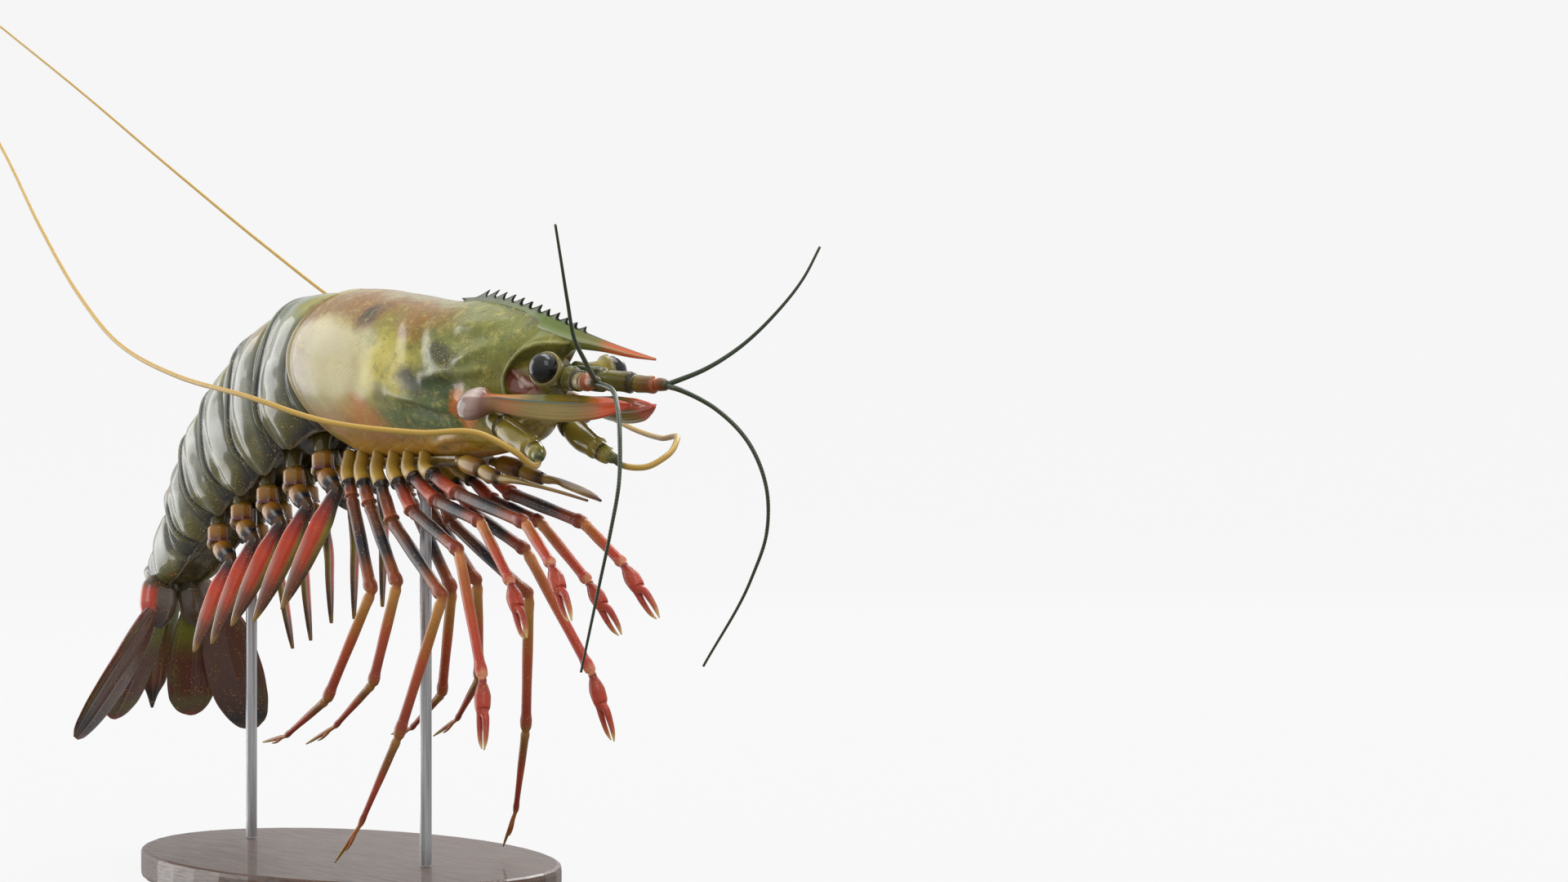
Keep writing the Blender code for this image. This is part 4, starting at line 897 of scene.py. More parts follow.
def blade_mesh(name, stations, across, side, rows, columns, relief=None):
    """A flat tapering piece from rows of along, out, up, half width, half thickness and maybe share."""
    path = eased([mirrored(side, *row) for row in stations], rows, 3)
    grid = tube_grid(path[:, :3], path[:, 3:5], mirrored(side, *across), columns)
    turn = even_turns(columns)
    share = path[:, 5, None] if path.shape[1] > 5 else np.linspace(0.0, 1.0, rows)[:, None]
    width, face = np.cos(turn) + 0 * share, np.sin(turn) * side + 0 * share
    if relief:
        grid = raised(grid, relief(share, width))
    return skin_mesh(name, grid, {"along": share, "width": width, "face": face})


def scale_relief(share, width):
    rib = bells(width, ((0.45, 0.15, 0.1),)) * np.clip((share - 0.12) * 8, 0, 1)
    return rib + 0.05 * np.sin(width * 26) * (width < 0) * np.clip((share - 0.3) * 4, 0, 1)


def scale_colour(tree, spot, torn):
    along, width = mark(tree, "along"), mark(tree, "width")
    lower, upper = bands(tree, along, SCALE_LOWER), bands(tree, along, SCALE_UPPER)
    colour = mixed(tree, ramped(tree, width, 0.05, 0.2), lower, upper)
    long = put(tree, "CombineXYZ", ((0, math_node(tree, "MULTIPLY", along, 2.0)),
                                    (1, math_node(tree, "MULTIPLY", width, 10.0)))).outputs[0]
    streaks = noise(tree, long, 2.0, 1.0)["Fac"]
    colour = laid(tree, colour, (98, 66, 30), ramped(tree, streaks, 0.52, 0.7, 0.0, 0.5))
    colour = laid(tree, colour, (70, 96, 92), near(tree, width, 0.12, 0.07, 0.03),
                  ramped(tree, along, 0.82, 0.66), ramped(tree, along, 0.18, 0.24))
    # a painted highlight: a pale streak over the boss at the scale's root
    return laid(tree, colour, (206, 184, 176), ramped(tree, along, 0.15, 0.1),
                near(tree, width, 0.3, 0.22, 0.04), 0.3)


scale_paint = finish("scale_finish", scale_colour, dents=0.08)
for side, word in SIDES:
    mesh = blade_mesh("scale", SCALE_STATIONS, SCALE_ACROSS, side, 150, 64, scale_relief)
    dress("antennal_plate_" + word, mesh, scale_paint, "olive_shell", "antennal_scale_" + word)
print("scales reach", SCALE_STATIONS[-1][0], "mm ahead")

# %% [markdown]
# The maxillipeds are the jointed mouth feet: two rounded blocks and a slender curled leaf. Each
# block is pinched where it meets the next.

# %% Maxillipeds
MAXILLIPED_STATIONS = (
    (37.9, 4.2, -18.5, 1.1, 0.9), (39.4, 4.3, -18.6, 1.3, 1.1), (41, 4.5, -19, 1.9, 1.8),
    (44, 4.8, -19.6, 2, 1.9), (46.4, 4.8, -20.2, 1.9, 1.8), (46.9, 4.8, -20.4, 1.2, 1.2),
    (47.6, 4.9, -20.6, 1.5, 1.4), (50, 5.1, -21.4, 1.65, 1.55), (52.8, 5.3, -22, 1.45, 1.35),
    (53.4, 5.3, -22.1, 0.8, 0.8), (54.6, 5.2, -22.2, 1, 0.9), (58, 5, -22.5, 1, 0.7),
    (65, 3.8, -23.8, 1.6, 0.4), (71.5, 2.6, -25.2, 1.3, 0.35), (76.8, 1.6, -26.5, 0.3, 0.25),
)
MAXILLIPED_ACROSS = (0.75, 0.66, 0.0)
MAXILLIPED_STOPS = (
    (0, 110, 84, 30), (0.1, 166, 128, 42), (0.2, 130, 84, 40), (0.235, 54, 34, 22), (0.26, 166, 136, 52),
    (0.33, 146, 104, 44), (0.39, 60, 38, 24), (0.44, 160, 128, 50), (0.6, 120, 88, 36), (0.8, 146, 112, 46),
    (0.93, 110, 72, 46), (1, 80, 48, 40),
)


def maxilliped_colour(tree, spot, torn):
    colour = bands(tree, mark(tree, "along"), MAXILLIPED_STOPS)
    # a pale edge along one side of each joint: partly a pale rim and partly a painted highlight
    return laid(tree, colour, (190, 164, 90), ramped(tree, mark(tree, "width"), 0.6, 0.95, 0.0, 0.2))


maxilliped_paint = finish("maxilliped_finish", maxilliped_colour, coat=0.35, dents=0.15, shine=0.16)
for side, word in SIDES:
    mesh = blade_mesh("mouth_foot", MAXILLIPED_STATIONS, MAXILLIPED_ACROSS, side, 160, 28)
    dress("mouth_foot_" + word, mesh, maxilliped_paint, "brown_leg", "maxilliped_" + word)
print("maxillipeds made")

# %% [markdown]
# Under the thorax lies a narrow floor of shell that carries the legs. It has a low cross rib at
# each pair of legs.

# %% Underside of the thorax
LEG_ROOTS = (28.5, 22.5, 17.0, 11.0, 5.0, 0.0)
FLOOR_TOP, FLOOR_REAR, FLOOR_FRONT = -17.3, -3.0, 37.5
FLOOR_RIB_REACH = 1.2
FLOOR_OUTLINE = (
    # out, up
    (5.2, -17.3), (5.3, -17.7), (5.0, -18.6), (4.0, -19.4), (2.0, -19.6), (-2.0, -19.6), (-4.0, -19.4),
    (-5.0, -18.6), (-5.3, -17.7), (-5.2, -17.3), (-3.0, -17.3), (3.0, -17.3),
)


def underside_mesh():
    """The outline strung along the thorax, a little larger at each pair of legs."""
    along = np.linspace(FLOOR_REAR, FLOOR_FRONT, 140)[:, None]
    out, up = np.array(FLOOR_OUTLINE).T
    ribs = bells(along, [(1.0, root, FLOOR_RIB_REACH) for root in LEG_ROOTS])
    share = 0.9 + 0.1 * np.clip(ribs, 0, 1)
    grid = np.stack((along + 0 * out, out * share, FLOOR_TOP + (up - FLOOR_TOP) * share), axis=2)
    return skin_mesh("thorax_floor", grid)


def underside_colour(tree, spot, torn):
    return cloudy(tree, spot, 0.5, (92, 74, 34), (150, 122, 54))


dress("thorax_floor", underside_mesh(), finish("underside_finish", underside_colour), "golden_joint",
      "thorax_underside")
print("thorax floor with", len(LEG_ROOTS), "ribs")

# %% [markdown]
# A leg is a chain of stiff tubes. Each tube is narrow at its root, slim along its shaft and
# swells into a collar where the next one hinges. One profile of shares along a joint gives them
# that form, and the short first joint has its own. The angles of each joint give the leg its pose.
# The first three pairs end in small pincers, and the others in a fine forked claw.

# %% Leg shapes
PINCER_LEGS = (
    # root along; then length, dip below straight ahead and splay outwards of each joint
    (28.5, ((5.2, 20, 8), (8.2, 26, -4), (24.3, 14, 1), (13.1, 37, 7), (13.9, 51, 8))),
    (22.5, ((4.7, 30, 8), (8.8, 31, -1), (16.1, 15, 1), (17.7, 42, 7), (13.3, 54, 9))),
    (17, ((5.3, 40, 8), (7.3, 49, 0), (19.5, 24, 3), (29.1, 58, 10), (14.5, 75, 10))),
)
WALKING_LEGS = (
    (11, ((5.3, 47, 8), (8.1, 62, 0), (27.7, 33, 7), (29.7, 106, 10), (20.1, 115, 10), (10.6, 130, 9))),
    (5, ((4.4, 50, 8), (4.6, 61, 2), (21.9, 49, 7), (21, 101, 9), (14.4, 140, 8), (10.7, 157, 4))),
    (0, ((3.9, 55, 8), (2.9, 68, 4), (23, 59, 7), (25.2, 114, 10), (16, 149, 5), (8.6, 168, 3))),
)
LEG_RADII = (1.6, 1.3, 1.42, 1.18, 0.98, 0.5)
COXA_PROFILE = (
    (0.3, 1.48), (0.7, 1.58), (0.9, 1.76), (0.965, 1.78), (0.99, 1.2),
)
JOINT_PROFILE = (
    (0.02, 0.8), (0.06, 1), (0.14, 0.93), (0.4, 1), (0.7, 0.95), (0.87, 1), (0.935, 1.2), (0.985, 1.1),
)
TOE = (
    # share of the last joint, shift aside, radius
    (0.05, 0, 0.4), (0.2, 0, 0.46), (0.5, 0, 0.4), (0.8, 0, 0.3), (1, 0, 0.16),
)
TOE_SPUR = (
    (0.12, 0, 0.3), (0.32, 0.45, 0.34), (0.5, 0.75, 0.24), (0.62, 0.7, 0.12),
)
PALM = (
    (0.01, 0, 0.74), (0.035, 0, 0.86), (0.06, 0, 0.8), (0.14, 0, 1.2), (0.27, 0, 1.62), (0.38, 0, 1.55),
    (0.46, 0, 1.3),
)
FINGER = (
    (0.53, 0.76, 0.8), (0.7, 1.04, 0.64), (0.87, 0.88, 0.46), (1, 0.42, 0.14),
)
THUMB = (
    (0.34, -0.3, 0.8), (0.42, -0.6, 0.9), (0.52, -0.9, 0.72), (0.7, -1.06, 0.56), (0.86, -0.88, 0.42),
    (0.97, -0.42, 0.13),
)
# how far out and up a leg leaves the floor's sloping side, its step off it and its depth inside it
LEG_OUT, LEG_UP, LEG_CLEAR, LEG_SUNK = 5.75, -18.45, 0.36, 1.6
ROOT_RADII = (1.36, 1.4, 1.42)
FLOOR_FACING = (0.0, 2.3, -3.5)


def leg_way(dip, splay, side):
    dip, splay = math.radians(dip), math.radians(splay)
    flat = math.cos(splay)
    return np.array((math.cos(dip) * flat, math.sin(splay) * side, -math.sin(dip) * flat))


def leg_rows(along, joints, side, pincer):
    """Rows of place, radius and joint number down a leg, and down its thumb or spur."""
    normal = np.array(mirrored(side, *FLOOR_FACING))
    normal /= np.linalg.norm(normal)
    start = np.array((along, LEG_OUT * side, LEG_UP)) + normal * LEG_CLEAR
    corner = start + normal
    top = start - normal * LEG_SUNK - leg_way(*joints[0][1:], side) * LEG_SUNK
    spots = zip((top, top * 0.5 + start * 0.5, start * 0.6 + corner * 0.4), ROOT_RADII, (0.0, 0.02, 0.05))
    rows = [(*spot, radius, joint) for spot, radius, joint in spots]
    for index, (length, dip, splay) in enumerate(joints[:-1]):
        ahead = leg_way(dip, splay, side) * length
        radius, following = LEG_RADII[index], LEG_RADII[index + 1] * 1.04
        for share, size in JOINT_PROFILE if index else COXA_PROFILE:
            if index:
                size *= radius + (following - radius) * share
            rows.append((*(corner + ahead * share), size, index + share))
        corner = corner + ahead
    length, dip, splay = joints[-1]
    ahead = leg_way(dip, splay, side)
    aside = np.cross(ahead, (0.0, 1.0, 0.0))
    aside /= np.linalg.norm(aside)
    tip, branch = ([(*(corner + ahead * length * share + aside * away), size, len(joints) - 1 + share)
                    for share, away, size in stations]
                   for stations in ((PALM + FINGER, THUMB) if pincer else (TOE, TOE_SPUR)))
    return rows + tip, branch


def leg_mesh(along, joints, side, pincer):
    skins = []
    for stations, count, columns in zip(leg_rows(along, joints, side, pincer), (300, 44), (22, 14)):
        path = eased(stations, count, 3)
        grid = tube_grid(path[:, :3], path[:, 3], (0.0, 1.0, 0.0), columns)
        marks = {"joint": path[:, 4, None] / 6, "width": np.sin(even_turns(columns))}
        skins.append(skin_mesh("leg", grid, marks))
    return merged("leg", skins)


print("leg profile has", len(JOINT_PROFILE), "stations a joint")

# %% [markdown]
# The photograph shows much the same order of colours down every leg: gold at the root with a dark
# ring, red-brown, a blue-black middle joint with brown ends, orange turning red, and an olive tip,
# or a pale one on the pincers. A colour ramp over the joint numbers puts each in its place on legs
# of any length.

# %% Leg finish and pieces
WALKING_BANDS = (
    (0, 150, 118, 40), (0.1, 182, 148, 56), (0.14, 168, 132, 50), (0.155, 46, 42, 36), (0.175, 22, 20, 20),
    (0.2, 84, 44, 26), (0.27, 132, 62, 32), (0.318, 160, 84, 44), (0.34, 112, 56, 30), (0.38, 92, 56, 36),
    (0.415, 30, 34, 46), (0.44, 52, 44, 42), (0.468, 136, 72, 34), (0.497, 140, 62, 28),
    (0.512, 190, 132, 66), (0.535, 164, 112, 44), (0.58, 170, 76, 40), (0.65, 140, 54, 34),
    (0.672, 150, 104, 50), (0.7, 120, 78, 38), (0.76, 158, 62, 42), (0.82, 128, 50, 32),
    (0.84, 168, 110, 56), (0.9, 150, 84, 44), (0.95, 146, 108, 44), (1, 158, 132, 46),
)
PINCER_BANDS = (
    (0, 150, 118, 40), (0.1, 182, 148, 56), (0.14, 168, 132, 50), (0.155, 50, 40, 32), (0.175, 24, 20, 20),
    (0.2, 96, 40, 26), (0.27, 168, 58, 34), (0.318, 186, 80, 48), (0.34, 112, 50, 32), (0.375, 84, 52, 40),
    (0.415, 30, 34, 44), (0.44, 58, 44, 40), (0.468, 140, 60, 34), (0.497, 132, 46, 26),
    (0.512, 204, 132, 78), (0.54, 174, 96, 44), (0.6, 184, 72, 42), (0.655, 174, 54, 38),
    (0.668, 214, 140, 100), (0.675, 130, 36, 24), (0.7, 160, 60, 38), (0.73, 178, 62, 42),
    (0.78, 160, 56, 38), (0.81, 176, 96, 56), (0.83, 214, 186, 120), (0.84, 214, 186, 120),
)


def leg_finish(name, stops):
    def colour_of(tree, spot, torn):
        colour = bands(tree, stirred(tree, mark(tree, "joint"), spot, 0.5, 0.02), stops)
        # a painted highlight: a faint pale streak down one side of every joint
        colour = laid(tree, colour, (214, 186, 160), near(tree, mark(tree, "width"), -0.5, 0.4, 0.0), 0.12)
        return specked(tree, colour, spot, (214, 150, 84), 0.5, 1.8)
    return finish(name, colour_of, rough=(0.32, 0.42), coat=0.32, dents=0.06, shine=0.14)


pincer_paint = leg_finish("pincer_leg_finish", PINCER_BANDS)
walking_paint = leg_finish("walking_leg_finish", WALKING_BANDS)
for side, word in SIDES:
    for number, (along, joints) in enumerate(PINCER_LEGS + WALKING_LEGS, start=1):
        pincer = number <= len(PINCER_LEGS)
        dress(f"leg_{number}_limb_{word}", leg_mesh(along, joints, side, pincer),
              pincer_paint if pincer else walking_paint, "brown_leg", f"leg_{number}_{word}")
print(number, "legs on each side")

# %% [markdown]
# The abdomen is six overlapping plates, like a knight's armour. Each plate's rear edge lies over
# the next and curls in, and its lower end is a rounded lobe that bows back. The rings follow a
# curled line of plate edges, each with its own height, width and lean.

# %% Abdomen shape
BOUNDARIES = (
    # back along, back up, lean back in degrees, height, half width
    (-2.6, 18.6, -6, 33, 16.4), (-20.4, 17.9, -3, 37.4, 14.2), (-39, 11, 13, 36.4, 13.4),
    (-54.4, 0.6, 23, 31, 12.2), (-65, -9, 30, 26.4, 11.4), (-74.6, -21.6, 42, 21.4, 9.6),
    (-88.4, -40.6, 56, 11.2, 6),
)
PLATE_COLUMNS, PLATE_RINGS = 176, 84
PLATE_ROWS = (
    # place on the plate, and growth over the ring of the body
    (-0.12, -1.6), (0, -1.1), (0.1, -0.75), (0.25, -0.3), (0.5, 0.1), (0.8, 0.4), (0.97, 0.6), (1.06, 0.65),
)
WALL_SHARE, MARGIN_DOWN, MARGIN_ROUND = 0.7, 0.91, 4.6
BELLY_PROFILE = ((0.0, 0.1, 0.24, 0.45, 1.0), (0.0, 0.11, 0.17, 0.3, 1.0), (0.0, 0.3, 2.4, 3.6, 4.2))
LOBE_BOW, LAST_BOW = 2.4, 1.1
PLATE_WAVES = ((0.45, 0.62, 0.2), (-0.8, 0.3, 0.05), (0.35, 0.2, 0.045), (-0.3, 0.8, 0.07))
PLATE_LIP = ((-0.35, 0.955, 0.03), (0.3, 1.03, 0.025))
PLATE_RIMS = ((0.012, -0.12), (0.035, -0.05), (0.07, 0.3), (0.12, 1.4))


def plate_turns(columns):
    """Turns round a plate: most points on the wall, the others under it, and how far under."""
    share = np.arange(columns) / columns
    half = 1 - np.abs(1 - 2 * share)
    swing = math.acos(1 - 2 * MARGIN_DOWN)
    under = np.clip((half - WALL_SHARE) / (1 - WALL_SHARE), 0, 1)
    turn = np.clip(half / WALL_SHARE, 0, 1) * swing + under * (math.pi - swing)
    return np.where(share <= 0.5, turn, 2 * math.pi - turn), under


def abdomen_rings(place, grow, hang, bow):
    """Rings of the abdomen at places counted in plates: a wall, its lower margin and a raised belly.

    grow makes a ring larger all round, hang lowers its margin, and bow drives its lower flank
    back, so that the rear edge is a lobe. Each has one value for a ring.
    """
    bounds = np.array(BOUNDARIES)
    index = np.minimum(place.astype(int), len(bounds) - 2)
    share = (place - index)[:, None]
    between = bounds[index] + (bounds[index + 1] - bounds[index]) * share
    along, up, lean, height, width = between.T[:, :, None]
    tilt, size = np.radians(lean), height / 30
    turn, under = plate_turns(PLATE_COLUMNS)
    down = np.minimum((1 - np.cos(turn)) / 2, MARGIN_DOWN)
    out = np.sign(np.sin(turn)) * (2 * np.sqrt(down * (1 - down))) ** 0.7
    inwards, lift = (np.interp(under, BELLY_PROFILE[0], row) for row in BELLY_PROFILE[1:])
    low = smooth(down, MARGIN_DOWN - 0.2, MARGIN_DOWN)
    grow, hang, bow = grow[:, None], hang[:, None], bow[:, None]
    half = (width + grow) * (1 - 0.12 * down ** 3) * out * (1 - inwards)
    depth = (height + grow) * down + (hang * low - lift) * size - grow * 0.5
    back = bow * size * bells(down, ((1.0, 0.68, 0.24),))
    x = along + np.sin(tilt) * depth - np.cos(tilt) * back
    z = up - np.cos(tilt) * depth - np.sin(tilt) * back
    return np.stack((x, half, z), axis=2), down, under


def plate_relief(place, down, number):
    """A groove behind the front, a broad swell, and a lip along the rear edge."""
    wave = place + 0.06 * np.sin(down * 7 + number) - 0.05 * down
    return (bells(wave, PLATE_WAVES) + bells(place, PLATE_LIP)) * np.clip((down - 0.02) * 8, 0.25, 1)


def plate_mesh(number):
    place, grow = eased(PLATE_ROWS[1 if number == 1 else 0:], PLATE_RINGS).T
    corner = np.clip((place - 0.58) / 0.49, 0, 1)
    hang = -0.6 + 1.1 * smooth(place, 0.0, 0.8) - MARGIN_ROUND * (1 - np.sqrt(1 - corner ** 2))
    bow = LAST_BOW if number == len(BOUNDARIES) - 1 else LOBE_BOW
    grid, down, under = abdomen_rings(number - 1 + place, grow, hang,
                                      bow * np.clip((place - 0.15) / 0.85, 0, 1) ** 1.5)
    if number == 1:
        margin = arch_rings(np.array(CARAPACE_STATIONS[:1]), plate_turns(PLATE_COLUMNS)[0])[0]
        front = rims(margin, AHEAD, ((0.05, -0.48),))[0]
        ease = smooth(place, 0.0, 0.45)[:, None, None]
        grid = front * (1 - ease) + grid * ease
    grid = raised(grid, plate_relief(place[:, None], down, number) * np.clip(1 - under * 12, 0, 1))
    lean = math.radians(BOUNDARIES[number][2])
    edge = rims(grid[-1], (math.cos(lean), 0.0, math.sin(lean)), PLATE_RIMS)
    marks = {"plate": np.append(place, [place[-1]] * len(edge))[:, None], "down": down + 0.09 * under,
             "under": under}
    return skin_mesh("plate", np.concatenate((grid, edge)), marks)


print("plates of", PLATE_COLUMNS, "columns")

# %% [markdown]
# A tiger prawn is named for its bands. Across the back they run olive-yellow, rust and blue-black,
# and fade on the flanks into grey-green. The pigment is laid in the plate's own directions: from
# its front to its rear edge, and from the back down to the belly. Painted shade darkens each
# plate's front and its grooves, and painted highlights lie across the flank and along the rear edge.

# %% Abdomen finish and pieces
PLATE_BACKS = (
    # at the back, from each plate's front to its rear edge
    ((24, 38, 30), (150, 142, 62), (116, 124, 56), (78, 92, 74), (120, 130, 104)),
    ((60, 76, 66), (132, 136, 78), (150, 104, 60), (100, 98, 56), (42, 46, 42)),
    ((84, 92, 78), (126, 124, 82), (164, 150, 84), (98, 106, 70), (44, 48, 44)),
    ((90, 96, 78), (138, 132, 74), (112, 116, 76), (72, 86, 76), (64, 40, 32)),
    ((96, 92, 62), (120, 112, 70), (88, 94, 80), (156, 60, 38), (182, 56, 34)),
    ((176, 68, 42), (110, 108, 70), (96, 106, 82), (60, 70, 64), (30, 34, 34)),
)
BACK_PLACES = (0.05, 0.3, 0.5, 0.75, 0.98)
# from the back down to the belly: lightest through the upper middle of the flank, partly a painted milky
# highlight, then darker towards the lower margin
FLANK_STOPS = (
    (0, 136, 138, 92), (0.16, 128, 132, 108), (0.36, 136, 138, 126), (0.52, 134, 136, 124),
    (0.66, 112, 114, 94), (0.78, 102, 100, 64), (0.85, 82, 76, 46), (0.885, 48, 34, 34), (0.9, 44, 32, 32),
    (0.909, 150, 142, 122), (0.93, 70, 62, 26), (1, 92, 82, 34),
)
# how strong the painted shade at each plate's front and the painted milky highlight are on the first plate
# and on the others
FIRST_PAINTED_LIGHT, OTHER_PAINTED_LIGHT = (0.3, 0.15), (0.62, 0.36)


def plate_finish(number, backs):
    painted_shade, painted_highlight = FIRST_PAINTED_LIGHT if number == 1 else OTHER_PAINTED_LIGHT

    def colour_of(tree, spot, torn):
        place, down = mark(tree, "plate"), mark(tree, "down")
        across, low = stirred(tree, place, spot, 0.2, 0.5), stirred(tree, down, spot, 0.2, 0.25)
        back = bands(tree, across, [(at, *shade) for at, shade in zip(BACK_PLACES, backs)])
        colour = mixed(tree, ramped(tree, low, 0.06, 0.3), back, bands(tree, down, FLANK_STOPS))
        # painted shade over the front half of each plate, where the plate in front of it overlaps it
        colour = laid(tree, colour, (46, 52, 54), ramped(tree, across, 0.5, 0.16),
                      ramped(tree, low, 0.16, 0.4, 0.0, painted_shade))
        # a painted milky highlight across the middle of the upper flank
        colour = laid(tree, colour, (184, 186, 176), near(tree, across, 0.62, 0.24, 0.03),
                      ramped(tree, low, 0.74, 0.4, 0.0, painted_highlight))
        colour = laid(tree, colour, (104, 100, 40), ramped(tree, low, 0.5, 0.8, 0.0, 0.5),
                      ramped(tree, across, 0.3, 0.7))
        # painted shade along the groove behind each plate's front
        turned = math_node(tree, "ADD", math_node(tree, "MULTIPLY", down, 7.0), float(number))
        bent = math_node(tree, "SINE", turned)
        wave = math_node(tree, "ADD", place, math_node(tree, "MULTIPLY", bent, 0.06))
        wave = math_node(tree, "SUBTRACT", wave, math_node(tree, "MULTIPLY", down, 0.05))
        colour = laid(tree, colour, (50, 54, 50), near(tree, wave, 0.3, 0.06, 0.01, 0.34))
        # painted shade in the groove before the rear lip, and a painted highlight along the rear edge
        colour = laid(tree, colour, (30, 30, 36), near(tree, place, 0.965, 0.04, 0.012), 0.9)
        colour = laid(tree, colour, (176, 176, 160), ramped(tree, place, 1.02, 1.035, 0.0, 0.75))
        # painted shade on the front strip that lies under the plate in front
        colour = laid(tree, colour, (26, 28, 30), ramped(tree, place, 0.14, 0.07, 0.0, 0.8))
        belly = cloudy(tree, spot, 0.5, (52, 48, 20), (96, 84, 34), 2.0)
        colour = mixed(tree, ramped(tree, mark(tree, "under"), 0.08, 0.2), colour, belly)
        return specked(tree, colour, spot, (206, 178, 96), 0.8, 2.0)
    return finish(f"plate_{number}_finish", colour_of, rough=(0.34, 0.46), coat=0.85, dents=1.2,
                  dent_size=0.19, shine=0.09)


for number, backs in enumerate(PLATE_BACKS, start=1):
    dress(f"abdomen_plate_{number}", plate_mesh(number), plate_finish(number, backs), "banded_plate",
          f"abdomen_{number}")
print("abdomen in", len(PLATE_BACKS), "plates")

# %% [markdown]
# The tail fan is the telson, a pointed keel in the middle, with two blades on each side on a
# short stem. The blades are thin, dark and glossy with a red band across, and low ribs stiffen
# them. The right outer blade is turned a little more than the left one, as in the photograph.

# %% Tail fan
TELSON_STATIONS = (
    # along, out, up, half width, half thickness
    (-86.6, 0, -42, 3.6, 1.5), (-88.4, 0, -46.5, 4.6, 1.9), (-90.2, 0, -52, 5, 1.6),
    (-92, 0, -61, 4.6, 1.3), (-93.3, 0, -68.6, 3.2, 1), (-93.9, 0, -71.8, 1.5, 0.6),
    (-94.2, 0, -75, 0.3, 0.3),
)
TELSON_ACROSS = (0.0, 1.0, 0.0)
STEM_STATIONS = (
    (-82.6, 4.2, -44.2, 3.2, 1.9), (-82, 4.8, -46.8, 4.9, 2.4), (-81.2, 5.6, -50.4, 5.2, 2.4),
    (-81, 6.4, -53.4, 4.2, 1.8), (-81.2, 6.9, -55.2, 2.4, 1.1),
)
STEM_ACROSS = (0.25, 0.95, -0.15)
OUTER_BLADE = (
    (-78.6, 8.6, -51.4, 2.8, 0.9), (-78.8, 10, -54.4, 4.9, 1), (-79.6, 11.6, -58, 6, 1),
    (-80.9, 13.2, -62, 6.6, 0.9), (-82.6, 15.6, -67, 6.9, 0.7), (-84.6, 18.4, -72.5, 6.5, 0.6),
    (-86, 20.9, -76.8, 5.2, 0.5), (-86.8, 22.6, -79.4, 3.5, 0.45), (-87.1, 23.5, -80.6, 1.3, 0.35),
)
OUTER_ACROSS = {1: (0.75, 0.56, 0.36), -1: (0.62, 0.73, 0.34)}
INNER_BLADE = (
    (-82.6, 4.2, -50.6, 2.4, 0.8), (-83.8, 5, -54, 3.6, 1), (-85.3, 5.8, -57.6, 4.6, 1),
    (-87.4, 6.9, -62.4, 5.4, 0.9), (-89.6, 8, -67.6, 5.9, 0.7), (-91.4, 9, -72, 5.5, 0.6),
    (-92.6, 9.8, -74.8, 4.2, 0.5), (-93.3, 10.3, -76.4, 2.6, 0.45), (-93.6, 10.5, -77.1, 1, 0.35),
)
INNER_ACROSS = (0.23, 0.97, -0.08)
FAN_RIBS = ((0.3, 0.05, 0.07), (0.28, 0.72, 0.05), (0.28, 0.88, 0.04))
OUTER_STOPS = (
    (0, 120, 76, 62), (0.07, 108, 68, 54), (0.15, 104, 68, 54), (0.4, 104, 70, 56), (0.7, 92, 58, 46),
    (0.84, 64, 44, 38), (0.9, 34, 32, 32), (0.95, 70, 44, 34), (1, 110, 50, 38),
)
INNER_STOPS = (
    (0, 96, 100, 34), (0.2, 116, 118, 38), (0.36, 104, 84, 40), (0.5, 98, 56, 42), (0.75, 96, 54, 44),
    (0.88, 92, 82, 38), (0.95, 96, 60, 40), (1, 150, 56, 38),
)
TELSON_STOPS = (
    (0, 60, 62, 28), (0.15, 92, 98, 34), (0.35, 104, 104, 38), (0.6, 110, 76, 44), (0.82, 96, 56, 42),
    (0.9, 40, 34, 32), (1, 24, 24, 26),
)
TAIL_STEM_STOPS = (
    (0, 84, 72, 54), (0.4, 98, 82, 68), (0.7, 84, 62, 50), (1, 56, 42, 34),
)


def fan_relief(share, width):
    veins = 0.035 * np.sin(width * 34)
    return (bells(width, FAN_RIBS) + veins) * np.sin(math.pi * np.clip(share, 0, 1)) ** 0.5


def telson_relief(share, width):
    return (bells(width, ((-0.6, 0.0, 0.14),)) + bells(np.abs(width), ((0.25, 0.3, 0.1),))) * (1 - share)


def fan_finish(name, stops, edge_shade, rib_shade, rib_at, red=0.0, blush=0.0):
    """A blade's colours from root to tip, its margins, its ribs, and the red band on its upper face."""
    def colour_of(tree, spot, torn):
        along, width = mark(tree, "along"), mark(tree, "width")
        side = math_node(tree, "ABSOLUTE", width)
        uneven = stirred(tree, along, spot, 0.25, 0.16)
        olive = ramped(tree, noise(tree, spot, 0.14, 2.0)["Fac"], 0.46, 0.62, 0.0, 0.5)
        colour = laid(tree, bands(tree, uneven, stops), (92, 88, 38), olive, ramped(tree, side, 0.3, 0.8))
        for place in rib_at:
            colour = laid(tree, colour, rib_shade, near(tree, width, place, 0.07, 0.02),
                          ramped(tree, along, 0.95, 0.7, 0.0, 0.7))
        upper = ramped(tree, mark(tree, "face"), 0.1, -0.1)
        colour = laid(tree, colour, (40, 30, 26), upper, red)
        colour = laid(tree, colour, (160, 46, 32), upper, red, near(tree, uneven, 0.6, 0.11, 0.05))
        colour = laid(tree, colour, edge_shade, ramped(tree, side, 0.93, 0.99, 0.0, 0.8))
        colour = laid(tree, colour, (206, 84, 70), ramped(tree, width, 0.35, 0.65, 0.0, blush),
                      ramped(tree, along, 0.16, 0.4))
        return specked(tree, colour, spot, (190, 130, 66), 0.75, 1.3)
    return finish(name, colour_of, rough=(0.26, 0.36), dents=0.3, dent_size=0.12)


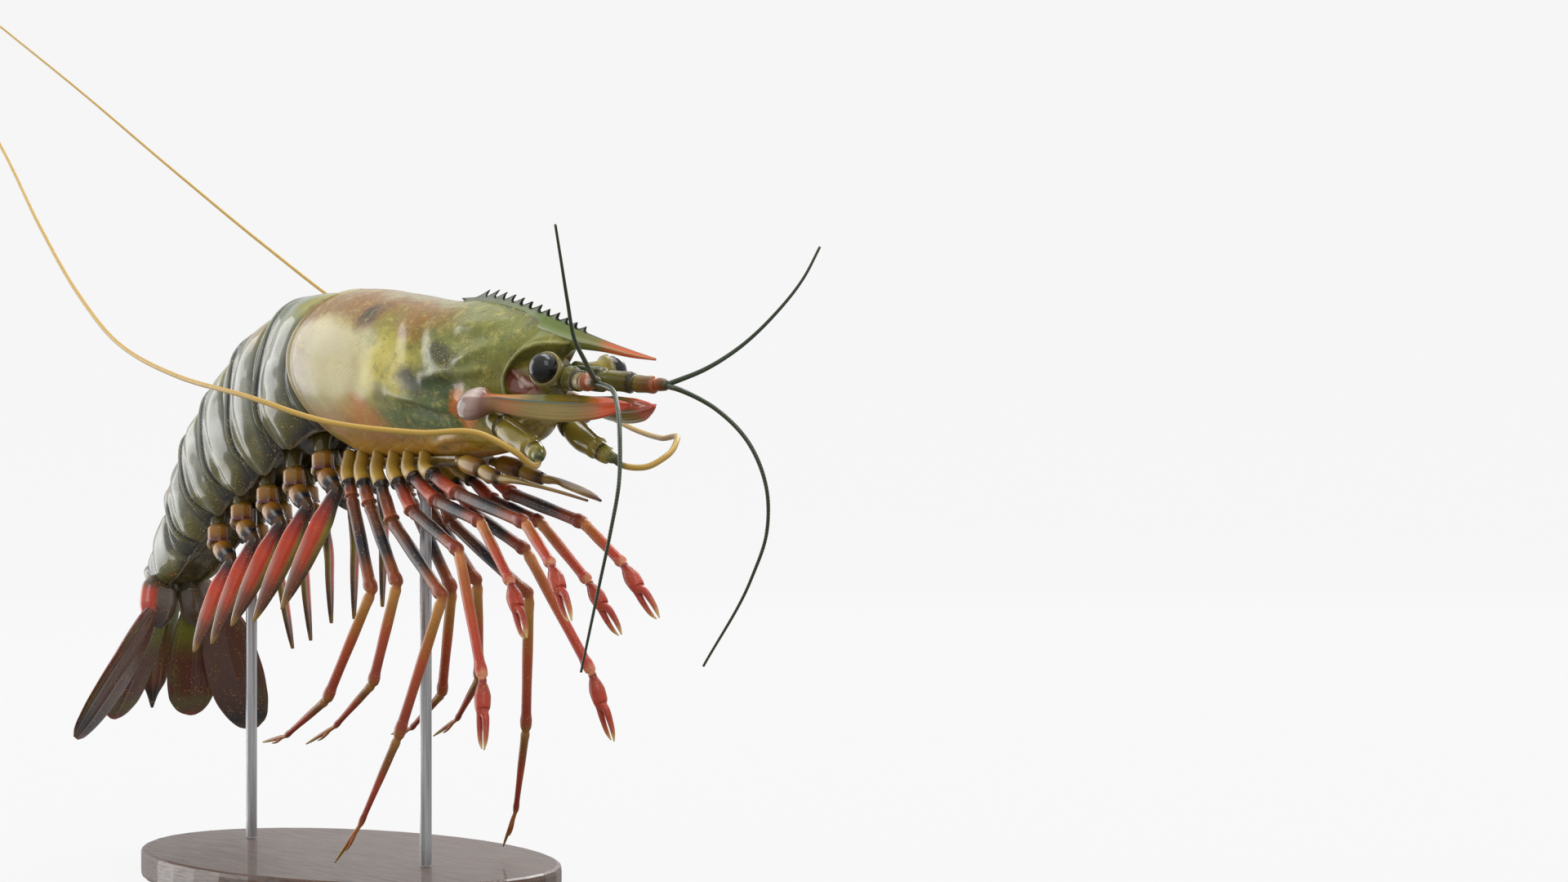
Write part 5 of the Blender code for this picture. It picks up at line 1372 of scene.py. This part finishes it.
outer_paint = fan_finish("outer_blade_finish", OUTER_STOPS, (110, 46, 34), (120, 92, 44), (), 0.7)
inner_paint = fan_finish("inner_blade_finish", INNER_STOPS, (70, 48, 34), (136, 104, 44), (0.72, 0.88), 0.7)
telson_paint = fan_finish("telson_finish", TELSON_STOPS, (84, 72, 44), (120, 100, 46), (0.3, -0.3), 0.5)
stem_paint = fan_finish("tail_stem_finish", TAIL_STEM_STOPS, (120, 96, 80), (120, 110, 90), (-0.3,),
                        blush=0.95)
dress("telson_keel", blade_mesh("telson", TELSON_STATIONS, TELSON_ACROSS, 1, 120, 64, telson_relief),
      telson_paint, "dark_blade", "telson")
for side, word in SIDES:
    for name, node, stations, across, paint, relief in (
            ("tail_stem_", "uropod_stem_", STEM_STATIONS, STEM_ACROSS, stem_paint, None),
            ("outer_blade_", "uropod_outer_", OUTER_BLADE, OUTER_ACROSS[side], outer_paint, fan_relief),
            ("inner_blade_", "uropod_inner_", INNER_BLADE, INNER_ACROSS, inner_paint, fan_relief)):
        mesh = blade_mesh(name, stations, across, side, 130, 96, relief)
        dress(name + word, mesh, paint, "dark_blade", node + word)
print("tail fan of 5 blades and 2 stems")

# %% [markdown]
# Under the abdomen hang five pairs of swimmerets. Each has a golden drum, a rounded knuckle
# and a long pointed blade with a rib down its middle, black at its root, then red and brown.

# %% Swimmerets
SWIMMERETS = (
    # root along, root up, tip up, tip along
    (-12.5, -19.2, -49.4, -15.5), (-24, -22.6, -52.4, -26.8), (-35, -26.4, -53.6, -36.1),
    (-46, -30.2, -57.8, -44.7), (-56, -35, -59.9, -52.4),
)
SWIMMERET_ACROSS = (0.66, -0.75, 0.0)
SWIMMERET_TOP = (
    # shift from the drum's top, half width, half thickness, share of the whole limb
    ((-1.0, -0.6, 4.4), 2.2, 2.0, 0.0), ((-0.1, 0.0, 0.8), 1.8, 1.8, 0.22),
    ((0.0, 0.0, 0.35), 2.25, 2.2, 0.24),
)
SWIMMERET_DRUM = (
    # share of the way to the drum's rim, half width, half thickness, share of the whole limb
    (0.0, 2.38, 2.3, 0.25), (0.7, 2.4, 2.3, 0.42), (0.8, 2.58, 2.5, 0.45), (1.0, 2.56, 2.5, 0.5),
)
SWIMMERET_KNUCKLE = (
    # share of the way from the rim to the knee, half width, half thickness
    (0.04, 1.75, 1.7), (0.12, 1.8, 1.75), (0.32, 2.25, 2.2), (0.56, 2.3, 2.2), (0.8, 1.95, 1.85),
    (1.0, 1.5, 1.3),
)
SWIMMERET_BLADE = (
    # share of the way from the bulge to the tip, or back to the knee, half width, half thickness
    (-0.65, 1.7, 1.0), (0.0, 2.35, 0.75), (0.4, 2.15, 0.6), (0.75, 1.35, 0.45), (0.95, 0.55, 0.3),
    (1.0, 0.2, 0.2),
)
# share of the whole limb at the bulge, from there to the tip, and from the knee to there
BULGE_SHARE, BLADE_RUN, KNEE_RUN = 0.832, 0.168, 0.082
SWIMMERET_ROOT = (
    (0, 70, 62, 24), (0.22, 84, 74, 28), (0.245, 164, 116, 40), (0.34, 152, 104, 32), (0.4, 122, 80, 26),
    (0.43, 104, 44, 34), (0.485, 76, 30, 26), (0.496, 224, 190, 130), (0.51, 50, 26, 16),
    (0.54, 168, 116, 36), (0.62, 148, 98, 28), (0.645, 120, 86, 34), (0.68, 30, 34, 44), (0.71, 28, 32, 42),
    (0.735, 96, 64, 28), (0.765, 40, 32, 32),
)
SWIMMERET_RED = (
    (0.8, 150, 44, 34), (0.84, 210, 72, 42), (0.9, 198, 74, 46), (0.93, 136, 72, 54), (0.97, 112, 74, 52),
    (0.995, 170, 132, 64),
)
SWIMMERET_OLIVE = (
    (0.8, 84, 74, 36), (0.84, 146, 130, 44), (0.89, 124, 98, 44), (0.93, 92, 60, 40), (0.97, 84, 58, 40),
    (0.995, 160, 124, 58),
)


def swimmeret_mesh(along, up, tip_up, tip_along, side):
    top = np.array((along + 1.3, 5.2, up + 2.7))
    rim = top + (0.3, 0.1, -3.4)
    knee, tip = np.array((along + 7.5, 5.6, up - 4.8)), np.array((tip_along, 12.8, tip_up))
    bulge = knee + (tip - knee) * 0.28 + (0.5, 0.3, 0.0)
    rows = [(*(top + shift), *sizes) for shift, *sizes in SWIMMERET_TOP]
    rows += [(*(top + (rim - top) * share), *sizes) for share, *sizes in SWIMMERET_DRUM]
    rows += [(*(rim + (knee - rim) * share), *sizes, 0.5 + 0.25 * share)
             for share, *sizes in SWIMMERET_KNUCKLE]
    for share, *sizes in SWIMMERET_BLADE:
        way, run = (bulge - knee, KNEE_RUN) if share < 0 else (tip - bulge, BLADE_RUN)
        rows.append((*(bulge + way * share), *sizes, BULGE_SHARE + run * share))
    return blade_mesh("swimmeret", rows, SWIMMERET_ACROSS, side, 200, 40, swimmeret_relief)


def swimmeret_relief(share, width):
    ribs = bells(width, ((0.2, 0.0, 0.16),)) + bells(np.abs(width), ((0.1, 0.7, 0.1),))
    return ribs * np.clip((share - 0.77) * 30, 0, 1)


def swimmeret_colour(tree, spot, torn):
    along, width = mark(tree, "along"), mark(tree, "width")
    uneven = stirred(tree, along, spot, 0.5, 0.02)
    red, olive = (bands(tree, uneven, SWIMMERET_ROOT + tip) for tip in (SWIMMERET_RED, SWIMMERET_OLIVE))
    colour = mixed(tree, ramped(tree, width, 0.25, 0.6), red, olive)
    colour = laid(tree, colour, (206, 196, 186), ramped(tree, width, -0.3, -0.7),
                  ramped(tree, along, 0.84, 0.9, 0.0, 0.4))
    # a painted highlight: a pale gleam on one side of the knuckle
    colour = laid(tree, colour, (196, 200, 200), near(tree, width, -0.3, 0.3, 0.0),
                  near(tree, along, 0.68, 0.05, 0.01), 0.45)
    return specked(tree, colour, spot, (206, 140, 84), 0.5, 1.6)


swimmeret_paint = finish("swimmeret_finish", swimmeret_colour, rough=(0.3, 0.4), coat=0.7, dents=0.1,
                         shine=0.14)
for side, word in SIDES:
    for number, row in enumerate(SWIMMERETS, start=1):
        dress(f"swim_leg_{number}_{word}", swimmeret_mesh(*row, side), swimmeret_paint, "golden_joint",
              f"swimmeret_{number}_{word}")
print(len(SWIMMERETS), "pairs of swimmerets")

# %% [markdown]
# The stand is not part of the animal: an oval base of dark oiled wood and two steel rods. Its
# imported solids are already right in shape, so they stay and only get their finish. Wood is rings
# of growth cut lengthwise, stretched noise gives that, and drawn steel has fine lines along it.

# %% Stand
WOOD_GRAIN, WOOD_PORES = (18.0, 260.0, 260.0), (120.0, 2600.0, 2600.0)
STEEL_LINES = (4000.0, 4000.0, 60.0)


def drawn_out(tree, scale, detail=2.0, rough=0.6):
    """Noise on the solid itself, with its own scale along each axis."""
    place = put(tree, "TexCoord").outputs["Object"]
    long = put(tree, "Mapping", (("Vector", place), ("Scale", scale))).outputs[0]
    return noise(tree, long, 1.0, detail, rough)["Fac"]


def wood_finish():
    paint, shader, tree = new_paint("oiled_wood_finish", Coat_Weight=0.25)
    rings, pores = drawn_out(tree, WOOD_GRAIN, 6.0, 0.65), drawn_out(tree, WOOD_PORES)
    colour = bands(tree, rings, ((0.3, 52, 34, 24), (0.5, 84, 56, 38), (0.7, 62, 40, 28)))
    wire(tree, shader, Base_Color=laid(tree, colour, (34, 22, 16), ramped(tree, pores, 0.55, 0.7, 0.0, 0.6)),
         Roughness=ramped(tree, pores, 0.3, 0.7, 0.32, 0.5), Normal=bumped(tree, pores, 0.0002, 0.6))
    return paint


def steel_finish():
    paint, shader, tree = new_paint("drawn_steel_finish", Metallic=1.0)
    lines = drawn_out(tree, STEEL_LINES)
    wire(tree, shader, Base_Color=bands(tree, lines, ((0.3, 150, 150, 152), (0.7, 196, 196, 198))),
         Roughness=ramped(tree, lines, 0.3, 0.7, 0.2, 0.34))
    return paint


wood, steel = wood_finish(), steel_finish()
for node, paint in (("stand_base", wood), ("stand_rod_front", steel), ("stand_rod_rear", steel)):
    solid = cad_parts[node]
    solid.data.materials.clear()
    solid.data.materials.append(paint)
print("stand finished")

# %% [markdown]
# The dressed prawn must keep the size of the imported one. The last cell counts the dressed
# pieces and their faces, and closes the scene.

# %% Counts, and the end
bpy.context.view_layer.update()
faces = sum(len(piece.data.polygons) for piece in made)
print(len(made), "pieces,", faces, "faces")
